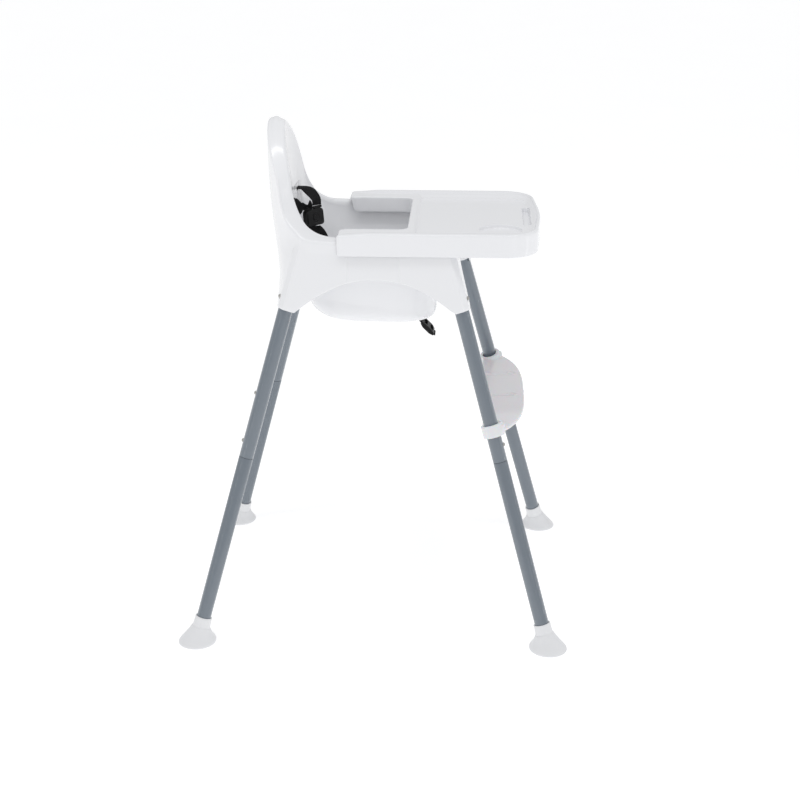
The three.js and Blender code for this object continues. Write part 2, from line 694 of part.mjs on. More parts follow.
// ---- harness ----
// A strap: a flat band swept along points, each with the way its width runs.
function strap(stations, width) {
  const centres = new THREE.CatmullRomCurve3(stations.map((s) => new THREE.Vector3(...s.at)));
  const widths = new THREE.CatmullRomCurve3(stations.map((s) => new THREE.Vector3(...s.across)));
  const steps = stations.length * 4;
  const rings = [];
  for (let i = 0; i <= steps; i++) {
    const centre = centres.getPoint(i / steps);
    const tangent = centres.getTangent(i / steps);
    const across = widths.getPoint(i / steps);
    across.addScaledVector(tangent, -across.dot(tangent)).normalize();
    const face = new THREE.Vector3().crossVectors(tangent, across);
    rings.push(
      [
        [1, 1],
        [-1, 1],
        [-1, -1],
        [1, -1],
      ].map(([a, b]) =>
        centre
          .clone()
          .addScaledVector(across, (a * width) / 2)
          .addScaledVector(face, (b * WEBBING_THICK) / 2),
      ),
    );
  }
  return loft(rings);
}

// The buckle hangs turned towards the chair's right. In its own frame X runs across it, Z is up and its
// face looks along -Y; the waist straps' tongues enter its top, and the crotch strap its bottom.
const BUCKLE = { y: 119, z: 720, width: 44, height: 30, thick: 11, turn: -0.7, tilt: 0.12 };
const BUCKLE_PLACE = new THREE.Matrix4()
  .makeRotationZ(BUCKLE.turn)
  .multiply(new THREE.Matrix4().makeRotationX(-BUCKLE.tilt))
  .setPosition(0, BUCKLE.y, BUCKLE.z);
const TONGUE_X = 11.3;
const TONGUE_TOP = BUCKLE.height / 2 + 5;

const fromBuckle = (x, z) => new THREE.Vector3(x, 0, z).applyMatrix4(BUCKLE_PLACE).toArray();
const buckleAcross = [Math.cos(BUCKLE.turn), Math.sin(BUCKLE.turn), 0];

// A waist strap, from behind its slot to its tongue. On the left it stands further forward.
function waistStrap(side) {
  const first = [
    { at: [side * BACK_SLOT_X, 170, BACK_SLOT_Z + 1], across: [1, 0, 0] },
    { at: [side * BACK_SLOT_X, 155, BACK_SLOT_Z + 1], across: [1, 0, 0] },
  ];
  const last = [
    { at: fromBuckle(side * (TONGUE_X + 0.6), TONGUE_TOP + 9), across: buckleAcross },
    { at: fromBuckle(side * TONGUE_X, TONGUE_TOP + 3), across: buckleAcross },
    { at: fromBuckle(side * TONGUE_X, TONGUE_TOP + 2 * GAP), across: buckleAcross },
  ];
  const left = [
    { at: [43, 140, 765], across: [1, -0.2, 0.1] },
    { at: [32, 128, 761], across: [0.8, -0.5, 0.3] },
  ];
  const right = [
    { at: [-43, 141, 764], across: [1, -0.1, -0.1] },
    { at: [-29, 136, 758], across: [0.85, -0.4, -0.3] },
  ];
  return strap([...first, ...(side > 0 ? left : right), ...last], WAIST_WEBBING);
}

function crotchStrap() {
  const flat = [1, 0, 0];
  const stations = [
    { at: fromBuckle(0, -BUCKLE.height / 2 - 2), across: buckleAcross },
    { at: fromBuckle(0, -BUCKLE.height / 2 - 7), across: buckleAcross },
    { at: [0, 112, 691], across: [0.6, -0.8, 0] },
    { at: [0, 106, 680], across: [0.5, -0.87, 0] },
    { at: [0, 100, 658], across: [0.65, -0.75, 0] },
    { at: [0, 95, 630], across: [0.9, -0.4, 0] },
    { at: [0, 88, 602], across: flat },
    { at: [0, 70, 574], across: flat },
    { at: [0, 34, 557.5], across: flat },
    { at: [0, -20, 556.2], across: flat },
    { at: [0, -43, 556.2], across: flat },
    { at: [0, -50.5, 554.9], across: flat },
    { at: [0, -55.5, 550], across: flat },
    { at: [0, -60.5, 543.5], across: flat },
    { at: [0, -69, 536], across: flat },
    { at: [0, -79, 527.3], across: flat },
    { at: [0, -91, 515.5], across: flat },
    { at: [0, -103, 503.7], across: flat },
  ];
  return strap(stations, CROTCH_WEBBING);
}

function harness() {
  const piece = (name, material, solid) => {
    add(name, material, geometryOf(solid).applyMatrix4(BUCKLE_PLACE));
  };
  // a plate of the buckle: a rounded outline about (x, z), between two depths
  const plate = (width, height, radius, low, high, x = 0, z = 0) => {
    const shape = roundedRectangle(x, z, width, height, radius);
    const options = { depth: high - low, bevelEnabled: false, curveSegments: 4 };
    const geometry = new THREE.ExtrudeGeometry(shape, options);
    return solidOf(geometry.rotateX(Math.PI / 2).translate(0, high, 0));
  };
  const half = BUCKLE.thick / 2;
  const topZ = BUCKLE.height / 2;
  const housing = cut(plate(BUCKLE.width, BUCKLE.height, 7, -half, half), [
    plate(13, 13, 6, -half - 1, 2),
    ...[1, -1].map((side) => plate(17, 16, 1, -2.2, 2.2, side * TONGUE_X, topZ - 2)),
  ]);
  piece("buckle_housing", "black_plastic", housing);
  piece("buckle_release_button", "black_plastic", plate(12, 12, 5.5, -half - 1.5, -3.2));
  for (const [name, side] of [
    ["left", 1],
    ["right", -1],
  ]) {
    const tongue = plate(16, 13, 2, -1.6, 1.6, side * TONGUE_X, TONGUE_TOP - 6.5);
    piece(`buckle_tongue_${name}`, "black_plastic", tongue);
    add(`waist_strap_${name}`, "webbing", waistStrap(side));
    const bar = box(34, 4, 9, side * BACK_SLOT_X, 173.5, BACK_SLOT_Z + 1);
    add(`strap_anchor_${name}`, "black_plastic", geometryOf(bar));
  }
  add("crotch_strap", "webbing", crotchStrap());
  const inside = CROTCH_WEBBING + 2 * GAP;
  const slider = cut(box(40, 24, 7, 0, 0, 0), [box(inside, 30, WEBBING_THICK + 2 * GAP, 0, 0, 0)]);
  const hung = new THREE.Matrix4().makeRotationX(Math.PI / 4).setPosition(0, -89, 517.5);
  add("crotch_anchor", "black_plastic", geometryOf(slider).applyMatrix4(hung));
}

// ---- assembly ----
const groups = LEGS.map(legGroup);
LEGS.forEach((leg, i) => {
  const rear = leg.y > 0;
  const buttons = rear ? [LOW_BUTTON_Z, HIGH_BUTTON_Z] : [LOW_BUTTON_Z];
  add(`upper_leg_${leg.name}`, "leg_paint", geometryOf(upperTube(buttons)), groups[i]);
  add(`lower_leg_${leg.name}`, "leg_paint", geometryOf(lowerTube(buttons)), groups[i]);
  add(`foot_${leg.name}`, "white_trim", geometryOf(foot(leg)));
  snapClip(groups[i], `socket_${leg.name}`, SOCKET_BUTTON, SOCKET_BUTTON_Z);
  snapClip(groups[i], `joint_${leg.name}`, JOINT_BUTTON, LOW_BUTTON_Z);
  if (rear) snapClip(groups[i], `height_${leg.name}`, JOINT_BUTTON, HIGH_BUTTON_Z);
});
add("seat_shell", "shell", geometryOf(seatShell(groups)));
add("tray", "tray", geometryOf(tray()));
add(
  "footrest",
  "white_trim",
  geometryOf(
    footrest([
      [groups[0], 1],
      [groups[1], -1],
    ]),
  ),
);
harness();

export default model;
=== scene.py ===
"""Baby high chair: the visual model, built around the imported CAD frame.

Sizes are in millimetres in the frame's axes: +Z up, the seat faces -Y, and the
floor is at Z = 0. MM turns them into Blender's metres when a mesh is made.
"""

import math

import bmesh
import bpy
import numpy as np
from mathutils import Matrix, Vector, geometry, kdtree


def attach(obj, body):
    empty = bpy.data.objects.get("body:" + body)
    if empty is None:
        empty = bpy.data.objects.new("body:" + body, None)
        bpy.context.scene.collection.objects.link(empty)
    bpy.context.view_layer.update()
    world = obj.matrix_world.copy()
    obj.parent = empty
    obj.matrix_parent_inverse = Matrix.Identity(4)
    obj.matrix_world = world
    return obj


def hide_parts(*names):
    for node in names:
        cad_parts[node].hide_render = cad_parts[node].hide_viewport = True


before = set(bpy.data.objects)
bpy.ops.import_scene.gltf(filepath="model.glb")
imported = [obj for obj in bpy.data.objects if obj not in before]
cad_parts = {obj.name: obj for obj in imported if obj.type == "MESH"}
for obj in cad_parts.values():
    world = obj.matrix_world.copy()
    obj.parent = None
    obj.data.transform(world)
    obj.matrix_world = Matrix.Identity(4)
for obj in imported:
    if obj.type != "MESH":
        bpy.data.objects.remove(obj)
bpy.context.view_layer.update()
MM = 0.001

# ---- driving dimensions, as in the CAD ----
FOOT_X, FOOT_Y = 273, 316  # each leg's axis meets the floor here
LEAN_X, LEAN_Y = 0.165, 0.273  # its lean towards the middle, per mm of height
TUBE_R, TUBE_WALL, SPIGOT_R = 12.7, 1.2, 11.2
SEAM_Z, SPIGOT_LENGTH, TUBE_TOP_Z = 337, 130, 690
SOCKET_Z, SOCKET_R, SOCKET_BORE_R = 598, 16, 13
SKIRT_R = 15.2
WALL = 3
SEAT_Z = 554
BACK_SLOT_X, BACK_SLOT_Z = 45, 764
CROTCH_SLOT_Y = -56
WAIST_WEBBING, CROTCH_WEBBING, WEBBING_THICK = 22, 30, 1.6
BUTTON_R = 3.4
SOCKET_BUTTON_Z, LOW_BUTTON_Z, HIGH_BUTTON_Z = 616, 364, 448
LEG_STRETCH = math.sqrt(1 + LEAN_X**2 + LEAN_Y**2)
LEGS = {"front_left": (1, -1), "front_right": (-1, -1), "rear_left": (1, 1), "rear_right": (-1, 1)}


def vec(*xyz):
    return np.array(xyz, float)


def unit(v):
    return v / np.linalg.norm(v)


def leg_axis(z):
    """How far out the leg's axis is at height z, in X and Y."""
    return FOOT_X - LEAN_X * z, FOOT_Y - LEAN_Y * z


# ---- materials ----
class Material:
    """A Principled material with short helpers for its nodes."""

    def __init__(self, name, roughness, metallic=0.0, specular=0.5):
        self.data = bpy.data.materials.new(name)
        self.data.use_nodes = True
        self.tree = self.data.node_tree
        self.shader = self.tree.nodes["Principled BSDF"]
        self.shader.inputs["Roughness"].default_value = roughness
        self.shader.inputs["Metallic"].default_value = metallic
        self.shader.inputs["Specular IOR Level"].default_value = specular
        self.coords = self.node("ShaderNodeTexCoord").outputs["Object"]
        self.normal = None

    def node(self, kind, **settings):
        made = self.tree.nodes.new(kind)
        for key, value in settings.items():
            setattr(made, key, value)
        return made

    def link(self, a, b):
        self.tree.links.new(a, b)

    def noise(self, scale, detail=3.0, roughness=0.55, stretch=None):
        made = self.node("ShaderNodeTexNoise")
        made.inputs["Scale"].default_value = scale
        made.inputs["Detail"].default_value = detail
        made.inputs["Roughness"].default_value = roughness
        source = self.coords
        if stretch:
            mapping = self.node("ShaderNodeMapping")
            mapping.inputs["Scale"].default_value = stretch
            self.link(self.coords, mapping.inputs["Vector"])
            source = mapping.outputs["Vector"]
        self.link(source, made.inputs["Vector"])
        return made.outputs["Fac"]

    def spread(self, value, low, high, frm=0.3, to=0.7):
        made = self.node("ShaderNodeMapRange")
        made.inputs["From Min"].default_value = frm
        made.inputs["From Max"].default_value = to
        made.inputs["To Min"].default_value = low
        made.inputs["To Max"].default_value = high
        self.link(value, made.inputs["Value"])
        return made.outputs["Result"]

    def colour(self, value, first, second):
        made = self.node("ShaderNodeMix", data_type="RGBA")
        # sockets 6 and 7 are the two colours, and output 2 is their mix
        made.inputs[6].default_value = (*first, 1)
        made.inputs[7].default_value = (*second, 1)
        self.link(value, made.inputs[0])
        self.link(made.outputs[2], self.shader.inputs["Base Color"])

    def roughness(self, value, low, high):
        self.link(self.spread(value, low, high), self.shader.inputs["Roughness"])

    def bump(self, value, strength, distance_mm):
        made = self.node("ShaderNodeBump")
        made.inputs["Strength"].default_value = strength
        made.inputs["Distance"].default_value = distance_mm * MM
        self.link(value, made.inputs["Height"])
        if self.normal is not None:
            self.link(self.normal, made.inputs["Normal"])
        self.normal = made.outputs["Normal"]
        self.link(self.normal, self.shader.inputs["Normal"])


FLOW_SCALE, GLOSS_SCALE, SKIN_SCALE = 9, 14, 900  # noise scales, per metre
PLASTIC_IOR = 1.49


def moulded_plastic(name, base, shade, low, high, grain=0.04, specular=0.5):
    """Injection-moulded plastic: faint flow marks, a fine skin, and a roughness from low to high."""
    made = Material(name, (low + high) / 2, 0.0, specular)
    made.colour(made.spread(made.noise(FLOW_SCALE, 3, 0.5), 0, 1), base, shade)
    made.roughness(made.noise(GLOSS_SCALE, 2, 0.5), low, high)
    made.bump(made.noise(SKIN_SCALE, 1, 0.5), grain, 0.02)
    made.shader.inputs["IOR"].default_value = PLASTIC_IOR
    return made


def translucent_plastic(name, base, shade):
    """Milky plastic that lets a little light through."""
    made = moulded_plastic(name, base, shade, 0.15, 0.18, 0.03)
    made.shader.inputs["Subsurface Weight"].default_value = 0.25
    made.shader.inputs["Subsurface Scale"].default_value = 0.004
    return made


def powder_coat(name, base, shade):
    """Satin paint on steel tube under a clear coat: a fine orange peel and small pits in the gloss."""
    made = Material(name, 0.36)
    made.colour(made.spread(made.noise(60, 3, 0.6), 0, 1), base, shade)
    made.roughness(made.noise(420, 3, 0.6), 0.3, 0.44)
    made.bump(made.noise(SKIN_SCALE, 2, 0.55), 0.22, 0.06)
    made.shader.inputs["Coat Weight"].default_value = 1.0
    made.shader.inputs["Coat Roughness"].default_value = 0.07
    return made


RIBS_PER_MM, YARNS_PER_MM = 0.55, 0.42


def woven_webbing(name):
    """Black nylon webbing: ribs across the strap, crossed by fine yarns along it, with painted shade in the
    weave's hollows.
    """
    made = Material(name, 0.78, 0.0, 0.1)
    uv = made.node("ShaderNodeUVMap", uv_map="Strap").outputs["UV"]
    split = made.node("ShaderNodeSeparateXYZ")
    made.link(uv, split.inputs[0])

    def wave(value, per_mm):
        scaled = made.node("ShaderNodeMath", operation="MULTIPLY")
        scaled.inputs[1].default_value = per_mm * 2 * math.pi
        made.link(value, scaled.inputs[0])
        sine = made.node("ShaderNodeMath", operation="SINE")
        made.link(scaled.outputs[0], sine.inputs[0])
        return sine.outputs[0]

    product = made.node("ShaderNodeMath", operation="MULTIPLY")
    made.link(wave(split.outputs[0], RIBS_PER_MM), product.inputs[0])
    made.link(wave(split.outputs[1], YARNS_PER_MM), product.inputs[1])
    weave_height = product.outputs[0]
    # painted shade: the colour is darker where the weave's height is low, in the hollows of the relief that the
    # bump makes
    made.colour(made.spread(weave_height, 0, 1, -1, 1), (0.004, 0.004, 0.0045), (0.014, 0.014, 0.0155))
    made.bump(weave_height, 0.8, 0.35)
    made.bump(made.noise(1800, 3, 0.7), 0.25, 0.12)
    made.shader.inputs["Sheen Weight"].default_value = 0.03
    return made


def satin_metal(name):
    """Spring steel, brushed along the leaf."""
    made = Material(name, 0.3, 1.0)
    made.colour(made.noise(240, 3, 0.6), (0.52, 0.51, 0.49), (0.34, 0.335, 0.32))
    made.roughness(made.noise(900, 3, 0.6, (1, 1, 12)), 0.2, 0.42)
    made.bump(made.noise(1400, 2, 0.5), 0.12, 0.04)
    return made


# ---- looks: a material and the slot that it goes in ----
SHELL = (moulded_plastic("shell_white", (0.88, 0.885, 0.903), (0.876, 0.881, 0.899), 0.17, 0.19), "shell")
TRAY_LOOK = (moulded_plastic("tray_white", (0.885, 0.89, 0.91), (0.881, 0.886, 0.906), 0.15, 0.17), "tray")
TRIM = (
    moulded_plastic("trim_white", (0.83, 0.835, 0.85), (0.82, 0.825, 0.84), 0.36, 0.42, 0.06),
    "white_trim",
)
MILKY = (translucent_plastic("rest_white", (0.82, 0.83, 0.85), (0.81, 0.82, 0.84)), "white_trim")
BLACK = (
    moulded_plastic("black_plastic", (0.007, 0.007, 0.0075), (0.01, 0.01, 0.0105), 0.34, 0.46, 0.1, 0.2),
    "black_plastic",
)
PAINT = (powder_coat("leg_paint", (0.158, 0.188, 0.222), (0.150, 0.180, 0.214)), "leg_paint")
WEBBING = (woven_webbing("webbing_black"), "webbing")
STEEL = (satin_metal("spring_steel"), "spring_steel")


# ---- meshes ----
WELD, FINE_WELD = 1e-6, 1e-7  # how near points are merged, in metres


def mesh_of(name, points, faces):
    """A mesh from points in mm."""
    mesh = bpy.data.meshes.new(name)
    mesh.from_pydata([tuple(p) for p in np.asarray(points, float) * MM], [], [tuple(f) for f in faces])
    return mesh


def make_piece(name, points, faces, look, body, nodes):
    """A smooth piece from points in mm, riding on a CAD body in the place of its CAD nodes."""
    material, slot = look
    mesh = mesh_of(name, points, faces)
    mesh.validate()
    mesh.materials.append(material.data)
    mesh.polygons.foreach_set("use_smooth", [True] * len(mesh.polygons))
    piece = bpy.data.objects.new(name, mesh)
    bpy.context.scene.collection.objects.link(piece)
    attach(piece, body)
    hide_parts(*nodes)
    return piece


def ring_faces(rings, count):
    """Quads between rings of count points, with each ring's last point joined to its first."""
    faces = []
    for r in range(rings - 1):
        for i in range(count):
            a, b = r * count + i, r * count + (i + 1) % count
            faces.append((a, b, b + count, a + count))
    return faces


def capped_faces(rings, count):
    """The quads between the rings, and a face over the first ring and over the last."""
    last = (rings - 1) * count
    return ring_faces(rings, count) + [tuple(range(count))[::-1], tuple(range(last, last + count))]


def turned(profile, sides=64):
    """A closed turned solid about Z, from (radius, height) corners listed round its section."""
    angles = np.arange(sides) * 2 * math.pi / sides
    rings = [np.stack([r * np.cos(angles), r * np.sin(angles), np.full(sides, z)], 1) for r, z in profile]
    rings.append(rings[0])
    return np.concatenate(rings), ring_faces(len(rings), sides)


def rounded(corners, radius, steps=4):
    """The closed outline through corners, (x, y) or (r, z), with each corner rounded."""
    out = []
    count = len(corners)
    for i in range(count):
        a, b, c = (np.array(corners[(i + k) % count], float) for k in (-1, 0, 1))
        reach = min(radius, np.linalg.norm(a - b) * 0.45, np.linalg.norm(c - b) * 0.45)
        start, end = b + unit(a - b) * reach, b + unit(c - b) * reach
        for k in range(steps + 1):
            t = k / steps
            out.append((1 - t) ** 2 * start + 2 * t * (1 - t) * b + t * t * end)
    return out


def weld(mesh, distance=WELD):
    made = bmesh.new()
    made.from_mesh(mesh)
    bmesh.ops.remove_doubles(made, verts=made.verts, dist=distance)
    bmesh.ops.recalc_face_normals(made, faces=made.faces)
    made.to_mesh(mesh)
    made.free()


def settle(piece, sharp_angle, distance=WELD):
    """Welds a piece's mesh, and keeps the edges that turn by more than sharp_angle degrees sharp."""
    weld(piece.data, distance)
    piece.data.set_sharp_from_angle(angle=math.radians(sharp_angle))


def spline(knots, at, places):
    """A natural cubic spline through rows of knots that stand at places, read at the values of at."""
    knots = np.asarray(knots, float)
    t = np.asarray(places, float)
    h = np.diff(t)
    n = len(knots)
    system = np.eye(n)
    right = np.zeros_like(knots)
    for i in range(1, n - 1):
        system[i, i - 1 : i + 2] = h[i - 1], 2 * (h[i - 1] + h[i]), h[i]
        right[i] = 6 * ((knots[i + 1] - knots[i]) / h[i] - (knots[i] - knots[i - 1]) / h[i - 1])
    bend = np.linalg.solve(system, right)
    where = np.asarray(at, float)
    i = np.clip(np.searchsorted(t, where, side="right") - 1, 0, n - 2)
    u, hi = (where - t[i])[:, None], h[i][:, None]
    left, rest = bend[i], bend[i + 1]
    slope = (knots[i + 1] - knots[i]) / hi - hi * (2 * left + rest) / 6
    return knots[i] + slope * u + left * u**2 / 2 + (rest - left) * u**3 / (6 * hi)


def bezier(t, *controls):
    points = [np.asarray(c, float) for c in controls]
    while len(points) > 1:
        points = [a + (b - a) * t for a, b in zip(points, points[1:])]
    return points[0]


def smooth(x, low, high):
    t = min(1, max(0, (x - low) / (high - low)))
    return t * t * (3 - 2 * t)


# ---- camera, light and floor, in metres ----
LENS, SENSOR = 72, 36
CAMERA_PLACE, CAMERA_WAY = (-2.833, -0.169, 1.374), (0.9418, 0.0436, -0.3333)
WORLD_COLOUR, WORLD_STRENGTH = (0.985, 0.99, 1, 1), 0.66
FLOOR_HALF, FLOOR_GLOW = 90, 0.38
# each light's place, aim, width, height and power
LIGHTS = {
    "overhead": ((-0.5, -0.1, 2.6), (0, 0, 0.6), 2.2, 0.12, 10),
    "strip_rear": ((-1.15, 1.05, 0.8), (0, 0, 0.7), 0.02, 1.5, 0.9),
    "strip_front": ((-1.9, -1.5, 0.9), (0, 0, 0.6), 0.05, 1.8, 0.8),
    "strip_end": ((-0.25, -1.4, 0.75), (0, 0, 0.7), 0.02, 1.4, 0.8),
}


def facing(way):
    """The turn that points a camera or a light along way."""
    return Vector(way).to_track_quat("-Z", "Y").to_euler()


def build_camera(scene):
    camera = bpy.data.objects.new("camera", bpy.data.cameras.new("camera"))
    scene.collection.objects.link(camera)
    camera.data.lens, camera.data.sensor_width = LENS, SENSOR
    camera.location = CAMERA_PLACE
    camera.rotation_euler = facing(CAMERA_WAY)
    scene.camera = camera


def build_world(scene):
    world = bpy.data.worlds.new("studio")
    world.use_nodes = True
    background = world.node_tree.nodes["Background"]
    background.inputs["Color"].default_value = WORLD_COLOUR
    background.inputs["Strength"].default_value = WORLD_STRENGTH
    scene.world = world


def build_light(scene, name, place, aim, width, height, power):
    lamp = bpy.data.lights.new(name, "AREA")
    lamp.shape, lamp.size, lamp.size_y, lamp.energy = "RECTANGLE", width, height, power
    made = bpy.data.objects.new(name, lamp)
    made.location = place
    made.visible_camera = False
    made.rotation_euler = facing(Vector(aim) - Vector(place))
    scene.collection.objects.link(made)


def build_floor(scene):
    mesh = bpy.data.meshes.new("floor")
    corners = [(x * FLOOR_HALF, y * FLOOR_HALF, 0) for x, y in ((-1, -1), (1, -1), (1, 1), (-1, 1))]
    mesh.from_pydata(corners, [], [(0, 1, 2, 3)])
    floor = bpy.data.objects.new("floor", mesh)
    paper = Material("paper", 0.9, 0.0, 0.1)
    paper.colour(paper.noise(2, 2), (0.93, 0.93, 0.93), (0.95, 0.95, 0.95))
    paper.shader.inputs["Emission Color"].default_value = (1, 1, 1, 1)
    paper.shader.inputs["Emission Strength"].default_value = FLOOR_GLOW
    mesh.materials.append(paper.data)
    scene.collection.objects.link(floor)


def stage_scene():
    scene = bpy.context.scene
    scene.view_settings.view_transform = "Standard"
    build_camera(scene)
    build_world(scene)
    for name, light in LIGHTS.items():
        build_light(scene, name, *light)
    build_floor(scene)


# ---- seat shell ----
# Shares of the way round, from the front's middle to the back's, where each stretch of the skirt ends.
FRONT_END, SIDE_START, SIDE_END, REAR_START = 0.16, 0.22, 0.56, 0.62
SKIRT_TOP_Z = 696
FRONT_BULGE = 1.4
REAR_Y, REAR_RISE, REAR_RISE_Z, REAR_FLARE = 176.5, 0.17, 640, 6.4
PANEL_X, PANEL_EDGE = 18.1, 4.5  # the side panel's face and edge, from the legs' axes
PANEL_INSET, PANEL_HALF, PANEL_FADE = 1.2, 46, 2.2  # the shallow recess in the middle of each side
EDGE_ROUND = 1.3  # half the length of the panel edge's rounding
ROUND_SHARE, FLAT_SHARE = 0.3, 0.5  # where that rounding ends, and the flat between it and the skirt's round
VALLEY = math.radians(76)  # where the rear corner's round meets the back
# The skirt's lower edge between the sockets: its top, half its width, its drop, and how square it is.
FRONT_ARCH, SIDE_ARCH, REAR_ARCH = (694, 157, 96, 6), (653.5, 139, 57, 2.4), (648, 157, 52, 2.4)
SIDE_ARCH_Y = -3

# The rim: a share of the way round, its inner edge and its outer lip.
RIM_STATIONS = [
    (0, (0, -113, 716), (0, -138, 707)),
    (0.1, (80, -113, 716), (88, -138, 707)),
    (0.16, (112, -109, 716), (146, -139, 707)),
    (0.19, (126, -101, 717), (167, -131, 708)),
    (0.22, (138, -87, 717), (174, -115, 709)),
    (0.28, (149, -58, 718), (176, -66, 710)),
    (0.39, (151, 0, 719), (176, 0, 710)),
    (0.5, (150, 66, 720), (176, 68, 710)),
    (0.56, (144, 95, 724), (174, 117, 712)),
    (0.62, (134, 117, 735), (165, 133, 723)),
    (0.67, (125, 129, 748), (150, 150, 741)),
    (0.76, (112, 146, 785), (129, 165, 787)),
    (0.84, (96, 156, 830), (107, 175, 828)),
    (0.9, (65, 165, 872), (72, 188, 864)),
    (0.95, (33, 170, 893), (37, 194, 885)),
    (1, (0, 172, 903), (0, 196, 893)),
]


def rim_line(which):
    """A smooth reader of the rim's inner edge (1) or outer lip (2) at a share of the way round."""

    def mirrored(row, middle):
        return 2 * middle - row[0], -row[1], row[2], row[3]

    rows = [(s[0], *s[which]) for s in RIM_STATIONS]
    before = [mirrored(rows[2], 0), mirrored(rows[1], 0)]
    after = [mirrored(rows[-2], 1), mirrored(rows[-3], 1)]
    rows = before + rows + after
    shares = [row[0] for row in rows]
    points = [row[1:] for row in rows]
    return lambda share: spline(points, [share], shares)[0]


RIM, LIP = rim_line(1), rim_line(2)


def corner_outline(t, end):
    """From the side panel's edge (t 0) round the leg's axis to angle end (t 1), as (out, on)."""
    edge = vec(PANEL_X, PANEL_EDGE)
    reach = np.hypot(*edge)
    tangent = math.atan2(edge[1], edge[0]) + math.acos(SKIRT_R / reach)
    touch = SKIRT_R * vec(math.cos(tangent), math.sin(tangent))
    down = unit(touch - edge) * EDGE_ROUND
    if t < ROUND_SHARE:
        return bezier(t / ROUND_SHARE, edge - (0, EDGE_ROUND), edge, edge + down)
    if t < FLAT_SHARE:
        return edge + down + (touch - edge - down) * (t - ROUND_SHARE) / (FLAT_SHARE - ROUND_SHARE)
    angle = tangent + (end - tangent) * (t - FLAT_SHARE) / (1 - FLAT_SHARE)
    return SKIRT_R * vec(math.cos(angle), math.sin(angle))


def skirt_point(share, z):
    """A point of the skirt at height z, on the chair's left."""
    x, y = leg_axis(z)
    if share < FRONT_END:
        within = share / FRONT_END
        return vec(x * within, -y - SKIRT_R - FRONT_BULGE * (1 - within**4), z)
    if share < SIDE_START:
        out, on = corner_outline((SIDE_START - share) / (SIDE_START - FRONT_END), math.pi / 2)
        return vec(x + out, -y - on, z)
    if share <= SIDE_END:
        within = (share - SIDE_START) / (SIDE_END - SIDE_START)
        at = (y + PANEL_EDGE - EDGE_ROUND) * (2 * within - 1)
        inset = PANEL_INSET * smooth(PANEL_HALF - abs(at), 0, PANEL_FADE)
        return vec(x + PANEL_X - inset, at, z)
    if share < REAR_START:
        out, on = corner_outline((share - SIDE_END) / (REAR_START - SIDE_END), VALLEY)
        return vec(x + out, y + on, z)
    out, on = corner_outline(1, VALLEY)
    rear = REAR_Y + REAR_RISE * max(0, z - REAR_RISE_Z)
    within = 1 - (share - REAR_START) / (1 - REAR_START)
    flare = REAR_FLARE * (1 - within) * within**2
    return vec((x + out) * within, y + on + (rear - y - on) * (1 - within**2) + flare, z)


def skirt_foot(share):
    """Height of the skirt's lower edge: square to the leg at each socket, and an arch between each two."""
    p = skirt_point(share, SOCKET_Z)
    leg_x, leg_y = leg_axis(SOCKET_Z)
    socket = SOCKET_Z + LEAN_X * (p[0] - leg_x) + LEAN_Y * (abs(p[1]) - leg_y)

    def arch(across, top, half, drop, power):
        return max(socket, top - drop * (abs(across) / half) ** power)

    if share < FRONT_END:
        return arch(p[0], *FRONT_ARCH)
    if SIDE_START <= share < SIDE_END:
        return arch(p[1] - SIDE_ARCH_Y, *SIDE_ARCH)
    if share >= REAR_START:
        return arch(p[0], *REAR_ARCH)
    return socket


TUB_SQUARENESS, TUB_MIDDLE_Y = 3.4, -8
# The tub's plan outlines, as half its width and its reach to the front and to the rear.
WALL_FOOT, FILLET_CORNER, SEAT_EDGE = (114, 103, 127), (110, 103, 120), (84, 96, 76)
FILLET_RISE, REAR_MORE, FRONT_LESS = 32, 14, 22  # height of the fillet's top, and its change at each end


def tub_point(bearing, outline, z):
    """A point of a rounded plan outline at the given bearing from the seat's middle."""
    half_width, front, rear = outline
    length = front if bearing[1] < 0 else rear
    total = (abs(bearing[0]) / half_width) ** TUB_SQUARENESS + (abs(bearing[1]) / length) ** TUB_SQUARENESS
    return vec(bearing[0], bearing[1], 0) * total ** (-1 / TUB_SQUARENESS) + vec(0, 0, z)


ROWS = {"skirt": 14, "flank": 18, "round": 7, "crest": 6, "roll": 6, "wall": 46, "fillet": 14, "seat": 12}
# The shallow panel round the slots in the back.
BACK_PANEL_TOP_Z, BACK_PANEL_FADE_Z = 775, (700, 745)
BACK_PANEL_HALF, BACK_PANEL_DEPTH = 62, 2.5


def rim_section(lip, rim, dome):
    """From the lip over the rim to the tub: a rounded outer edge, a crowned top and an inner roll. The crown
    grows to a dome as dome goes from 0 to 1."""
    across = (rim - lip) * (1, 1, 0)
    width = np.linalg.norm(across)
    inwards = across / width
    height = rim[2] - lip[2]
    crest = max(1.5, 0.75 * height)
    turn = min(7, 0.5 * abs(height) + 1.2) * 1.25

    def at(inset, dz):
        return lip + inwards * inset + vec(0, 0, dz)

    top = at(turn + dome, crest + (height - crest) * turn / width - 0.8 * dome)
    end = at(width - 5, height - (height - crest) * 5 / width + 0.25 - 2.7 * dome)
    slope = (end - top) / np.linalg.norm(end - top)
    edge = (lip, at(0, crest * 0.75), top - slope * turn * 0.55, top)
    points = [bezier(i / ROWS["round"], *edge) for i in range(ROWS["round"])]
    crown = (top + end) / 2 + vec(0, 0, 0.7 + 3.8 * dome)
    points += [bezier(i / ROWS["crest"], top, crown, end) for i in range(ROWS["crest"])]
    roll = (end, end + slope * 6.5 * (1 - dome) + (end - crown) * 0.6 * dome)
    roll += (at(width + 4.5, height - 1 - 4 * dome), at(width + 6.5, height - 10))
    return points + [bezier(i / ROWS["roll"], *roll) for i in range(ROWS["roll"] + 1)]


